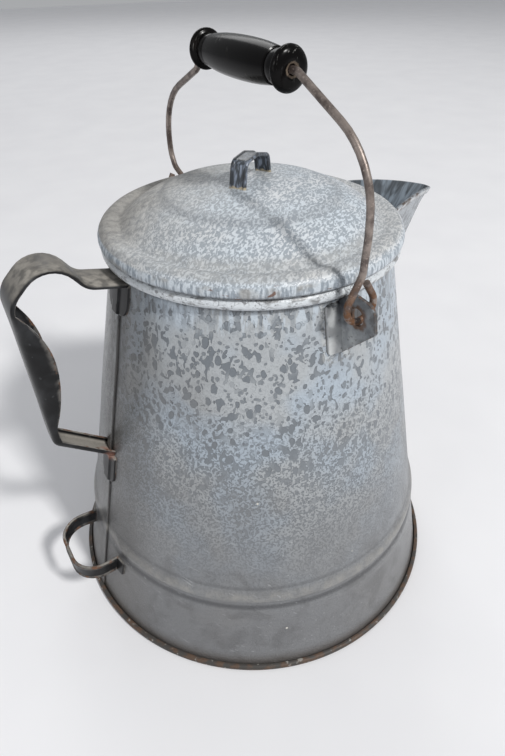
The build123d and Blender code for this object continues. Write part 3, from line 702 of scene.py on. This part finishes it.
# Lid: one stamped disc with a rolled brim, a groove and a low step, over a collar that drops into
# the mouth. It lies loose on the rim.
lid_line = [
    (88.0, 276.15), (93.35, 276.13), (94.7, 276.5), (95.6, 277.4), (95.95, 278.73),
    (95.9, 280.4), (95.3, 282.3), (94.1, 284.2), (92.4, 285.7), (90.4, 286.6), (88.2, 286.75),
    (86.0, 286.3), (84.2, 285.75), (82.7, 285.45), (81.2, 286.0), (78.0, 288.2), (74.0, 291.1),
    (70.0, 293.7), (66.0, 295.9), (62.0, 297.7), (58.5, 298.9), (56.6, 299.5), (55.2, 300.2),
    (54.0, 301.0), (52.8, 301.6), (51.0, 302.0), (47.0, 302.7), (42.0, 303.6), (36.0, 304.7),
    (30.0, 305.6), (24.0, 306.3), (18.0, 306.85), (12.0, 307.2), (7.0, 307.4), (3.0, 307.48), (0.05, 307.5),
    (0.05, 306.0), (18.0, 305.3), (36.0, 303.1), (51.0, 300.4), (55.5, 298.5), (62.0, 296.1), (70.0, 292.1),
    (78.0, 286.6), (82.7, 283.9), (87.6, 284.3), (87.6, 277.0), (88.0, 276.15),
]
lid_dent = 0.12
dents_above = 288.0
lid = rings("lid_dome", lid_line)
for vertex in lid.data.vertices:
    x, y, z = vertex.co / mm
    inward = min(1.0, max(0.0, (z - dents_above) / 8.0))
    vertex.co.z -= lid_dent * mm * (1.0 + sin(0.06 * x + 1.3) * sin(0.05 * y)) * inward
clean(lid)

# dusty lid enamel: the same graniteware under years of shelf dust. Crisp blue-grey worms towards
# the front, flat warm grey behind, and white strokes down the brim.
lid_coat, tree, shader, place = paint("dusty_lid_enamel", 0.5, 0.08)
axes = wire_in(tree, "axes", place)
rise = axes["Z"]
drawn = wire_in(tree, "stretch", place, (1.0, 2.1, 1.0), (0.0, 0.0, radians(-55.0)))
lid_worms = wire_in(tree, "step", wire_in(tree, "noise", drawn, 760.0, 1.5, 0.7), 0.43, 0.56)
cloud = wire_in(tree, "step", wire_in(tree, "noise", place, 26.0, 3.0), 0.35, 0.65)
ground = wire_in(tree, "lay", cloud, "#d2d5d8", "#c9d2da")
coat = wire_in(tree, "lay", lid_worms, ground, "#99a1a9")
# dust lies thickest at the back and left and in the brim's hollow
towards_back = wire_in(tree, "dot product", place, (-0.45, 0.89, 0.0))
dust_wave = wire_in(
    tree, "add", towards_back, wire_in(tree, "multiply", wire_in(tree, "noise", place, 30.0, 4.0), 0.06)
)
dust = wire_in(tree, "step", dust_wave, 0.0, 0.105, 0.0, 0.86)
brim_dust = wire_in(
    tree, "multiply", wire_in(tree, "step", rise, 0.2835, 0.286),
    wire_in(tree, "step", rise, 0.292, 0.287),
)
dust = wire_in(tree, "maximum", dust, wire_in(tree, "multiply", brim_dust, 0.45))
dust_tone = wire_in(
    tree, "lay", wire_in(tree, "step", wire_in(tree, "noise", place, 260.0, 6.0), 0.3, 0.7), "#868481",
    "#b4b1ab",
)
coat = wire_in(tree, "lay", dust, coat, dust_tone)
# darker still towards the far back
coat = wire_in(tree, "lay", wire_in(tree, "step", dust_wave, 0.07, 0.12, 0.0, 0.6), coat, "#75726d")
shade = wire_in(
    tree, "multiply", wire_in(tree, "step", rise, 0.2985, 0.3), wire_in(tree, "step", rise, 0.303, 0.3012)
)
coat = wire_in(tree, "lay", wire_in(tree, "multiply", shade, 0.35), coat, "#7c7f83")
# white strokes down the brim's edge, 3 mm apart, on darker grey
brim = wire_in(tree, "step", rise, 0.2838, 0.2822)
strokes = wire_in(
    tree, "step", wire_in(tree, "noise", wire_in(tree, "stretch", place, (1.0, 1.0, 6.0)), 560.0, 2.0),
    0.42, 0.58,
)
brim_coat = wire_in(tree, "lay", strokes, "#8e97a0", "#c2cad1")
brim_coat = wire_in(
    tree, "lay", wire_in(tree, "step", wire_in(tree, "noise", place, 70.0, 3.0), 0.5, 0.66, 0.0, 0.7),
    brim_coat, "#928f8a",
)
# painted shade on the underside of the brim's roll, where it curls in over the rim
brim_coat = wire_in(
    tree, "lay", wire_in(tree, "step", rise, 0.2785, 0.2768, 0.0, 0.8), brim_coat, "#5b5c5f"
)
coat = wire_in(tree, "lay", brim, coat, brim_coat)
# rust where the brim is knocked, in spots of 3 to 8 mm
rust_spots = wire_in(
    tree, "multiply",
    wire_in(
        tree, "step",
        wire_in(tree, "noise", wire_in(tree, "stretch", place, (1.0, 1.0, 0.4)), 75.0, 5.0, 0.4), 0.65,
        0.69,
    ),
    wire_in(tree, "step", rise, 0.285, 0.2825, 0.0, 0.9),
)
coat = wire_in(tree, "lay", rust_spots, coat, "#6a4c3d")
tree.links.new(coat, shader.inputs["Base Color"])
tree.links.new(wire_in(tree, "step", dust, 0.0, 0.8, 0.4, 0.75), shader.inputs["Roughness"])
tree.links.new(wire_in(tree, "bump", lid_worms, 0.5, 0.0005), shader.inputs["Normal"])
lid.data.materials.append(lid_coat)
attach(lid, "lid")
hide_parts("lid_cover")
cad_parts["lid_collar"].data.materials.clear()
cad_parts["lid_collar"].data.materials.append(lid_coat)

# Lid knob: a short arch of steel strap with rolled edges, its two tongues pushed through slots and
# clinched under the lid.
knob_turn = radians(33.0)
knob_corners = [(-18.5, 306.0), (-15.5, 321.03), (0.0, 321.93), (15.5, 318.03), (18.5, 306.0)]
knob_width = 11.0
knob_sheet = 1.3
knob_bead = 1.25


def rounded(corners, bends, spacing=6.0):
    """A path in mm through corners, each inner one rounded by its bend, with points at a spacing."""
    corners = [Vector(corner) for corner in corners]
    path = [corners[0]]
    for before, corner, after, bend in zip(corners, corners[1:], corners[2:], bends):
        back, ahead = (before - corner).normalized(), (after - corner).normalized()
        half = back.angle(ahead) / 2.0
        centre = corner + (back + ahead).normalized() * bend / sin(half)
        start = corner + back * bend / tan(half) - centre
        end = corner + ahead * bend / tan(half) - centre
        sweep_angle = start.angle(end)
        for step in range(9):
            share = step / 8.0
            arm = (
                start * sin((1.0 - share) * sweep_angle) + end * sin(share * sweep_angle)
            ) / sin(sweep_angle)
            path.append(centre + arm)
    path.append(corners[-1])
    full = [path[0]]
    for spot in path[1:]:
        gap = (spot - full[-1]).length
        pieces = max(1, round(gap / spacing))
        start = full[-1]
        full += [start.lerp(spot, part / pieces) for part in range(1, pieces + 1)]
    return full


def swept(name, path, section, side):
    """A mesh swept along a path in mm; section(place) gives (across, out, mark) in mm."""
    rows = []
    across = Vector(side)
    for number, spot in enumerate(path):
        along = (path[min(number + 1, len(path) - 1)] - path[max(number - 1, 0)]).normalized()
        across = (across - along * across.dot(along)).normalized()
        out = along.cross(across)
        rows.append([(spot + across * a + out * b, mark) for a, b, mark in section(spot)])
    return skin(name, rows)


def beaded(width, sheet, bead):
    """A strap's section with a round bead of steel along both edges."""
    outline = []
    reach = width / 2.0 - bead
    for side in (1, -1):
        for step in range(9):
            angle = radians(-149.0 + step * 298.0 / 8.0)
            outline.append((side * (reach + bead * cos(angle)), side * bead * sin(angle), 1.0))
        middle = [(reach * part, side * sheet / 2.0, 0.0) for part in (0.5, 0.0, -0.5)]
        outline += [(side * a, b, mark) for a, b, mark in middle] if side < 0 else middle
    return outline


knob_path = rounded(
    [(across * cos(knob_turn), across * sin(knob_turn), height) for across, height in knob_corners],
    (5.0, 6.0, 5.0), 1.5,
)
knob_outline = beaded(knob_width, knob_sheet, knob_bead)
knob = swept("knob_strap", knob_path, lambda spot: knob_outline, (-sin(knob_turn), cos(knob_turn), 0.0))

# streaked knob enamel: thick and glassy where it pooled. Blue-black with pale streaks down the
# legs, and a pale tan crust at both feet.
knob_coat, tree, shader, place = paint("streaked_knob_enamel", 0.32, 0.1)
rise = wire_in(tree, "axes", place)["Z"]
beads = wire_in(tree, "attribute", attribute_name="mark")
upper = wire_in(tree, "attribute", attribute_name="upper")
streaks = wire_in(
    tree, "step", wire_in(tree, "noise", wire_in(tree, "stretch", place, (1.0, 1.0, 5.0)), 520.0, 2.0),
    0.44, 0.66,
)
coat = wire_in(tree, "lay", streaks, "#333940", "#8690a0")
coat = wire_in(tree, "lay", wire_in(tree, "step", upper, 0.5, 1.0, 0.0, 0.6), coat, "#55585b")
rubbed = wire_in(
    tree, "multiply", beads,
    wire_in(tree, "step", wire_in(tree, "noise", place, 200.0, 3.0), 0.45, 0.6, 0.2, 0.8),
)
coat = wire_in(tree, "lay", rubbed, coat, "#2f2e2f")
crust = wire_in(
    tree, "step",
    wire_in(
        tree, "add", rise, wire_in(tree, "multiply", wire_in(tree, "noise", place, 600.0, 2.0), -0.004)
    ),
    0.3062, 0.3048,
)
coat = wire_in(tree, "lay", crust, coat, "#b5a88f")
tree.links.new(coat, shader.inputs["Base Color"])
knob.data.materials.append(knob_coat)
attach(knob, "lid")
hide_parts("lid_knob")

# Bail wire: one length of 4 mm drawn steel wire, threaded through the grip, bent to an arch and
# hooked through both ears.
pivot = Vector((0.0, 0.0, 270.0))
lean = radians(3.0)
bail_span = 106.55
bail_top = 102.3
wire_round = 2.0
hook = 9.0


def on_bail(across, up, beside):
    """A place in mm from the bail's own leaning axes."""
    return (
        pivot + Vector((0, 1, 0)) * across
        + Vector((-sin(lean), 0, cos(lean))) * up + Vector((cos(lean), 0, sin(lean))) * beside
    )


def hook_arc(across, first, last):
    """The round of a hook between two angles in degrees."""
    return [
        on_bail(across, hook * sin(radians(turn)), hook * cos(radians(turn)))
        for turn in range(first, last, 15 if last > first else -15)
    ]


bail_arch = rounded(
    [
        on_bail(-bail_span, 4.5, -7.794), on_bail(-bail_span, 18.0, 0.0),
        on_bail(-bail_span - 1.8, 38.0, 0.0), on_bail(-bail_span - 1.8, 75.0, 0.0),
        on_bail(-50.6, bail_top, 0.0), on_bail(46.6, bail_top, 0.0), on_bail(53.6, bail_top - 12.0, 0.0),
        on_bail(bail_span + 4.0, 64.0, 0.0), on_bail(bail_span + 4.0, 27.0, 0.0),
        on_bail(bail_span, 18.0, 0.0), on_bail(bail_span, 4.5, 7.794),
    ],
    (8.0, 60.0, 42.0, 6.0, 6.0, 8.0, 48.0, 14.0, 8.0), 3.0,
)
bail_path = [on_bail(-bail_span, 12.9, 2.94)] + hook_arc(-bail_span, 30, -210)
bail_path += bail_arch + hook_arc(bail_span, 15, -211) + [on_bail(bail_span, 12.9, -2.94)]
wire_outline = [
    (wire_round * cos(radians(turn)), wire_round * sin(radians(turn)), 0.0) for turn in range(0, 360, 20)
]
bail = swept("bail_wire_bent", bail_path, lambda spot: wire_outline, (0, 1, 0))

# rusted drawn steel wire: bare and long handled. Grey-brown with small bright rubs, turning
# rust-brown and rough in the hooks.
wire_steel, tree, shader, place = paint("rusted_bail_wire", 0.42, 0.0, 0.55)
rise = wire_in(tree, "axes", place)["Z"]
coat = wire_in(
    tree, "lay", wire_in(tree, "step", wire_in(tree, "noise", place, 120.0, 4.0), 0.38, 0.64), "#5a504c",
    "#91867f",
)
coat = wire_in(
    tree, "lay", wire_in(tree, "step", wire_in(tree, "noise", place, 900.0, 2.0), 0.6, 0.7, 0.0, 0.7),
    coat, "#ab9d95",
)
hook_rust = wire_in(
    tree, "multiply", wire_in(tree, "step", rise, 0.292, 0.268),
    wire_in(tree, "step", wire_in(tree, "noise", place, 230.0, 4.0), 0.35, 0.55),
)
coat = wire_in(
    tree, "lay", hook_rust, coat,
    wire_in(tree, "lay", wire_in(tree, "noise", place, 900.0, 2.0), "#5c4332", "#8f6a50"),
)
tree.links.new(coat, shader.inputs["Base Color"])
tree.links.new(wire_in(tree, "step", hook_rust, 0.0, 1.0, 0.4, 0.85), shader.inputs["Roughness"])
tree.links.new(
    wire_in(tree, "bump", wire_in(tree, "noise", place, 1500.0, 3.0), 0.35, 0.0002),
    shader.inputs["Normal"],
)
bail.data.materials.append(wire_steel)
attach(bail, "bail")
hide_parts("bail_wire")

# Grip: a turned hardwood handle with a flange at each end, bored through and loose on the wire,
# painted black.
grip_shift = -2.0
grip_half_line = [
    (2.55, 38.0), (2.55, 44.4), (3.0, 44.85), (4.8, 45.0), (7.2, 44.8), (9.0, 44.1), (10.2, 43.1),
    (10.8, 42.0), (10.8, 41.0), (10.4, 40.1), (9.5, 39.6), (8.6, 39.3), (8.2, 38.9), (8.2, 38.0),
    (8.3, 35.0), (8.35, 32.0), (8.15, 31.6), (8.2, 31.2), (8.85, 30.8), (9.4, 26.0), (10.0, 20.0),
    (10.4, 13.0), (10.6, 6.0),
]
grip_line = [(radius, -height) for radius, height in grip_half_line] + [(10.65, 0.0)]
grip = rings("turned_grip", grip_line + grip_half_line[::-1], 64)
clean(grip, 50.0)
bpy.ops.transform.rotate(value=pi / 2, orient_axis="X", center_override=(0, 0, 0))
bpy.ops.object.transform_apply(location=True, rotation=True, scale=True)
grip_centre = on_bail(grip_shift, bail_top, 0.0)
bpy.ops.transform.translate(value=grip_centre * mm)
bpy.ops.object.transform_apply(location=True, rotation=True, scale=True)

# black grip paint: gloss enamel on turned hardwood. Nearly black, rubbed grey in the palm's place
# and worn to bare wood round the bore.
grip_paint, tree, shader, place = paint("worn_black_grip_paint", 0.28)
shader.inputs["Specular IOR Level"].default_value = 0.10
from_centre = wire_in(tree, "vector subtract", place, grip_centre * mm)
off_axis = wire_in(tree, "vector multiply", from_centre, (1.0, 0.0, 1.0))
off_axis = wire_in(tree, "length", off_axis)
out_from_middle = wire_in(tree, "axes", from_centre)["Y"]
scuff_grain = wire_in(
    tree, "noise", wire_in(tree, "stretch", place, (1.0, 0.25, 3.0), (0.0, 0.0, radians(8.0))), 420.0, 4.0
)
scuffs = wire_in(
    tree, "multiply", wire_in(tree, "step", scuff_grain, 0.6, 0.7, 0.0, 0.55),
    wire_in(tree, "step", wire_in(tree, "noise", place, 45.0, 2.0), 0.5, 0.6),
)
coat = wire_in(tree, "lay", scuffs, "#090808", "#8c8b88")
coat = wire_in(
    tree, "lay", wire_in(tree, "step", wire_in(tree, "noise", place, 90.0, 3.0), 0.6, 0.8, 0.0, 0.4),
    coat, "#241f1d",
)
bare_wave = wire_in(
    tree, "add", off_axis, wire_in(tree, "multiply", wire_in(tree, "noise", place, 500.0, 3.0), -0.002)
)
ends = wire_in(tree, "step", out_from_middle, 0.044, 0.0445)
ends = wire_in(tree, "maximum", ends, wire_in(tree, "step", out_from_middle, -0.044, -0.0445))
bare = wire_in(tree, "multiply", wire_in(tree, "step", bare_wave, 0.0032, 0.0022), ends)
coat = wire_in(
    tree, "lay", bare, coat,
    wire_in(tree, "lay", wire_in(tree, "noise", place, 900.0, 2.0), "#4d4238", "#7d7164"),
)
tree.links.new(coat, shader.inputs["Base Color"])
tree.links.new(
    wire_in(tree, "step", wire_in(tree, "add", scuffs, bare), 0.0, 0.8, 0.2, 0.6),
    shader.inputs["Roughness"],
)
tree.links.new(wire_in(tree, "bump", scuff_grain, 0.06, 0.0002), shader.inputs["Normal"])
grip.data.materials.append(grip_paint)
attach(grip, "grip")
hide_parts("bail_grip")

# Ears: each a doubled fin of sheet with a round eye for the hook, standing out from a flange that
# lies on the wall.
ear_foot = 236.0
ear_top = 266.5
ear_outline = [
    (81.35, ear_foot), (97.49, ear_foot), (120.85, 259.5), (117.85, 274.3), (100.35, 275.3),
    (90.35, ear_top), (81.35, ear_top),
]
ear_bends = (1.0, 2.0, 7.0, 6.0, 0.5)
fin_half = 1.3
fin_flat = 0.9
fin_rounding = 0.965
fin_middle = 104.0
fin_middle_height = 258.0
eye_height = 263.6
eye_round = 5.0
flange_half = 11.0
plate_thick = 1.3
plate_root = 0.5


def wall_plate(name, heading, middle, half, low, high, thick, corners, ridge=0.0):
    """A plate that lies on the wall, its heading in degrees and its sizes in mm. Corners are the
    rounding at its low and high end, and the ridge lifts its middle over the seam."""
    rows = []
    steps = 22
    for step in range(steps + 1):
        height = low + (high - low) * step / steps
        width = half
        for corner, away in ((corners[0], height - low), (corners[1], high - height)):
            if away < corner:
                width = min(width, half - corner + (corner**2 - (corner - away) ** 2) ** 0.5)
        outer, inner = [], []
        for part in range(25):
            across = width * (part / 12.0 - 1.0)
            from_edge = min(width - abs(across), height - low, high - height)
            edge = 1.0 - min(1.0, from_edge / (0.8 * thick))
            lift = thick * (1.0 - edge**2) ** 0.5 - 0.25 * edge
            lift += ridge * min(1.0, max(0.0, (4.9 - abs(across)) / 1.1))
            turn = radians(heading) + (middle + across) / wall_at(height)
            for line, out in ((outer, lift), (inner, -plate_root)):
                reach = wall_at(height) + out
                line.append((Vector((reach * cos(turn), reach * sin(turn), height)), edge))
        rows.append(outer + inner[::-1])
    return skin(name, rows)


# ear enamel: brazed steel fired together with the pot. Smoky grey, pale and crazed on the flange,
# rusty round the eye and along the edges.
ear_coat, tree, shader, place = paint("smoky_ear_enamel", 0.32, 0.3)
axes = wire_in(tree, "axes", place)
edges = wire_in(tree, "attribute", attribute_name="mark")
smoke = wire_in(tree, "step", wire_in(tree, "noise", place, 70.0, 3.0, 0.8), 0.36, 0.66)
fade = wire_in(
    tree, "step",
    wire_in(
        tree, "add", axes["Z"], wire_in(tree, "multiply", wire_in(tree, "noise", place, 60.0, 3.0), 0.02)
    ),
    0.272, 0.252,
)
coat = wire_in(
    tree, "lay", fade, wire_in(tree, "lay", smoke, "#43464a", "#7f8488"),
    wire_in(tree, "lay", smoke, "#8d9194", "#b4b7b8"),
)
coat = wire_in(
    tree, "lay", wire_in(tree, "step", wire_in(tree, "noise", place, 420.0, 3.0), 0.6, 0.7, 0.0, 0.5),
    coat, "#3b3532",
)
chipped = wire_in(
    tree, "multiply", wire_in(tree, "step", axes["X"], -0.002, -0.0065),
    wire_in(tree, "step", wire_in(tree, "noise", place, 130.0, 4.0, 0.4), 0.36, 0.5),
)
chip_tone = wire_in(tree, "lay", wire_in(tree, "noise", place, 160.0, 4.0, 0.6), "#8f9293", "#c6c8c8")
chipped = wire_in(tree, "multiply", chipped, wire_in(tree, "step", axes["Y"], 0.0, -0.05, 0.0, 0.85))
coat = wire_in(tree, "lay", chipped, coat, chip_tone)
# painted shade on the flange on the spout side of the fin, so that the eye shows dark
coat = wire_in(tree, "lay", wire_in(tree, "step", axes["X"], 0.0014, 0.003, 0.0, 0.7), coat, "#393634")
crazed = wire_in(
    tree, "multiply", wire_in(tree, "step", edges, 0.35, 0.9),
    wire_in(tree, "step", wire_in(tree, "noise", place, 330.0, 3.0), 0.3, 0.5),
)
coat = wire_in(tree, "lay", wire_in(tree, "multiply", crazed, 0.85), coat, "#3a3634")
beside_eye = wire_in(tree, "subtract", wire_in(tree, "absolute", axes["Y"]), 0.10655)
above_eye = wire_in(tree, "subtract", axes["Z"], 0.2636)
eye_reach = wire_in(tree, "joined", beside_eye, above_eye)
eye_reach = wire_in(tree, "length", eye_reach)
eye_wave = wire_in(
    tree, "add", eye_reach, wire_in(tree, "multiply", wire_in(tree, "noise", place, 260.0, 4.0), -0.006)
)
rust = wire_in(
    tree, "maximum", wire_in(tree, "step", eye_wave, 0.0055, 0.0025),
    wire_in(
        tree, "step", wire_in(tree, "multiply", edges, wire_in(tree, "noise", place, 240.0, 3.0)), 0.48,
        0.62,
    ),
)
coat = wire_in(
    tree, "lay", rust, coat,
    wire_in(tree, "lay", wire_in(tree, "noise", place, 800.0, 2.0), "#453730", "#755a48"),
)
tree.links.new(coat, shader.inputs["Base Color"])
tree.links.new(wire_in(tree, "step", rust, 0.0, 1.0, 0.3, 0.85), shader.inputs["Roughness"])
tree.links.new(wire_in(tree, "bump", smoke, 0.3, 0.0003), shader.inputs["Normal"])

for name, node, side in (("front", "ear_front", -1), ("back", "ear_back", 1)):
    outline = rounded([(0.0, side * across, height) for across, height in ear_outline], ear_bends, 3.0)
    middle = Vector((0.0, side * fin_middle, fin_middle_height))
    fin_rows = []
    for offset, shrink, mark in (
        (-fin_half, fin_rounding, 0.6), (-fin_flat, 1.0, 1.0),
        (fin_flat, 1.0, 1.0), (fin_half, fin_rounding, 0.6),
    ):
        fin_rows.append([
            (middle + (spot - middle) * shrink + Vector((offset, 0.0, 0.0)), mark) for spot in outline
        ])
    fin = skin("ear_fin_" + name, fin_rows, True)
    bore(fin, eye_round, hole_cut, [(0.0, side * bail_span, eye_height)], (0, pi / 2, 0))
    flange = wall_plate(
        "ear_flange_" + name, 90.0 * side, 0.0, flange_half, ear_foot, ear_top, plate_thick, (3.0, 3.0)
    )
    for piece in (fin, flange):
        piece.data.materials.append(ear_coat)
        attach(piece, "pot")
    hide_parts(node)

# Strap handle: one strip with both edges rolled towards the pot, deep where the hand holds it,
# ending in a tab over the seam at each end.
handle_top = 266.2
handle_corners = [
    (-87.14, 0.0, handle_top), (-113.04, 0.0, 272.0), (-131.04, 0.0, 296.0), (-156.2, 0.0, 272.0),
    (-153.14, 0.0, 167.0), (-113.8, 0.0, 135.5),
]
handle_bends = (12.0, 18.0, 18.0, 7.0)
strap_sheet = 1.3
strap_half = 13.0
strap_narrowing = 4.5
strap_narrow_top = 225.0
strap_narrow_run = 53.0
grip_height = 230.0
plain_depth = 2.2
low_depth = 5.0
grip_depth = 15.0
deep_above = 36.0
deep_below = 48.0
ridge_lift = 1.15
top_tab_half = 15.0
top_tab_foot = 244.2
low_tab_half = 11.0
low_tab_foot = 115.5
low_tab_top = 139.5


def strap_section(spot):
    """The strap's U section at a place: its edges roll in deepest at the middle of the grip."""
    above = spot.z > grip_height
    away = abs(spot.z - grip_height) / (deep_above if above else deep_below)
    shallow = plain_depth if above else low_depth
    depth = shallow + (grip_depth - shallow) * max(0.0, 1.0 - away**2)
    narrowed = min(1.0, max(0.0, (strap_narrow_top - spot.z) / strap_narrow_run))
    half = strap_half - strap_narrowing * narrowed
    corner = min(0.8 * depth, 9.0)
    lines = []
    for inset in (0.0, strap_sheet):
        width, bend = half - inset, max(0.3, corner - inset)
        line = [(-width, depth, 1.0)]
        for turn in range(0, 91, 15):
            angle = radians(turn)
            line.append(
                (-width + bend * (1.0 - cos(angle)), inset + bend * (1.0 - sin(angle)), 0.3 - turn / 300)
            )
        line.append((0.0, inset, 0.0))
        for turn in range(0, 91, 15):
            angle = radians(turn)
            line.append((width - bend * (1.0 - sin(angle)), inset + bend * (1.0 - cos(angle)), turn / 300))
        line.append((width, depth, 1.0))
        lines.append(line)
    return lines[0] + lines[1][::-1]


strap = swept("handle_strap_rolled", rounded(handle_corners, handle_bends, 3.0), strap_section, (0, 1, 0))
top_tab = wall_plate(
    "handle_top_tab", 180.0, 0.0, top_tab_half, top_tab_foot, handle_top, plate_thick, (11.0, 0.5),
    ridge_lift,
)
low_tab = wall_plate(
    "handle_low_tab", 180.0, 0.0, low_tab_half, low_tab_foot, low_tab_top, plate_thick, (7.0, 0.5),
    ridge_lift,
)

# handle enamel: a thin black ground coat on strap steel. Charcoal with a soft shine, grey dust on
# what faces up, and rust along the rolled edges.
handle_coat, tree, shader, place = paint("dusty_black_handle_enamel", 0.36)
shader.inputs["Specular IOR Level"].default_value = 0.22
axes = wire_in(tree, "axes", place)
edges = wire_in(tree, "attribute", attribute_name="mark")
upper = wire_in(tree, "attribute", attribute_name="upper")
coat = wire_in(
    tree, "lay", wire_in(tree, "step", wire_in(tree, "noise", place, 60.0, 4.0, 0.5), 0.38, 0.7),
    "#121213", "#2d2e30",
)
coat = wire_in(
    tree, "lay", wire_in(tree, "multiply", islands(tree, place, 220.0, 0.25), 0.2), coat, "#5b5e60"
)
thick = wire_in(
    tree, "multiply",
    wire_in(tree, "step", wire_in(tree, "noise", place, 40.0, 4.0), 0.3, 0.6, 0.35, 0.9),
    wire_in(tree, "step", wire_in(tree, "noise", place, 170.0, 4.0), 0.35, 0.6, 0.45, 1.0),
)
dust = wire_in(tree, "multiply", wire_in(tree, "step", upper, 0.25, 0.95), thick)
low_arm = wire_in(
    tree, "multiply", wire_in(tree, "step", axes["Z"], 0.172, 0.16),
    wire_in(tree, "step", axes["Z"], 0.12, 0.13),
)
dust = wire_in(
    tree, "maximum", dust,
    wire_in(tree, "multiply", low_arm, wire_in(tree, "step", upper, 0.2, 0.6, 0.0, 0.8)),
)
coat = wire_in(
    tree, "lay", dust, coat,
    wire_in(tree, "lay", wire_in(tree, "noise", place, 600.0, 3.0), "#8f8b84", "#a9a49c"),
)
# the rolled edges are worn pale, and painted paler as a highlight along their round
edge_wear_and_highlight = wire_in(
    tree, "multiply", wire_in(tree, "step", edges, 0.45, 0.9),
    wire_in(tree, "step", wire_in(tree, "noise", place, 130.0, 4.0), 0.4, 0.6),
)
coat = wire_in(tree, "lay", wire_in(tree, "multiply", edge_wear_and_highlight, 0.4), coat, "#8b8782")
rust = wire_in(
    tree, "step", wire_in(tree, "multiply", edges, wire_in(tree, "noise", place, 210.0, 4.0)), 0.46, 0.62
)
coat = wire_in(
    tree, "lay", rust, coat,
    wire_in(tree, "lay", wire_in(tree, "noise", place, 800.0, 2.0), "#4b372c", "#7b5b48"),
)
weld = wire_in(tree, "distance", place, (-0.1215, -0.004, 0.1415))
coat = wire_in(tree, "lay", wire_in(tree, "step", weld, 0.008, 0.002, 0.0, 0.75), coat, "#a06b57")
tree.links.new(coat, shader.inputs["Base Color"])
tree.links.new(
    wire_in(tree, "step", wire_in(tree, "add", dust, rust), 0.0, 0.9, 0.32, 0.75),
    shader.inputs["Roughness"],
)
tree.links.new(
    wire_in(tree, "bump", wire_in(tree, "noise", place, 300.0, 3.0), 0.15, 0.0003),
    shader.inputs["Normal"],
)
for piece in (strap, top_tab, low_tab):
    piece.data.materials.append(handle_coat)
    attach(piece, "pot")
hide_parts("handle_strap")

# Tipping handle: a low loop of strap with beaded edges, for tilting the full pot, on two feet.
loop_height = 48.0
loop_width = 13.5
loop_bead = 1.3
foot_half = 5.0
loop_path = rounded(
    [
        (-133.01, -22.0, loop_height), (-163.75, -24.0, loop_height),
        (-163.75, 32.0, loop_height), (-133.01, 30.0, loop_height),
    ],
    (18.0, 18.0), 3.0,
)
loop_outline = beaded(loop_width, strap_sheet, loop_bead)
loop = swept("tipping_loop", loop_path, lambda spot: loop_outline, (0, 0, 1))
foot_low = loop_height - loop_width / 2.0
foot_high = loop_height + loop_width / 2.0
loop_feet = [
    wall_plate(
        "tipping_foot_" + name, 180.0, across, foot_half, foot_low, foot_high, plate_thick, (3.0, 3.0)
    )
    for name, across in (("front", 26.35), ("back", -34.35))
]
for piece in [loop] + loop_feet:
    piece.data.materials.append(handle_coat)
    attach(piece, "pot")
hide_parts("tipping_handle")

# Rim wire: a ring of plain drawn steel inside the rolled rim, which keeps the mouth stiff. It is
# out of sight, and dull grey.
plain_wire, tree, shader, place = paint("plain_rim_wire", 0.5, 0.0, 0.8)
tree.links.new(
    wire_in(tree, "lay", wire_in(tree, "noise", place, 200.0), "#5d5b59", "#77736f"),
    shader.inputs["Base Color"],
)
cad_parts["rim_wire"].data.materials.clear()
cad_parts["rim_wire"].data.materials.append(plain_wire)
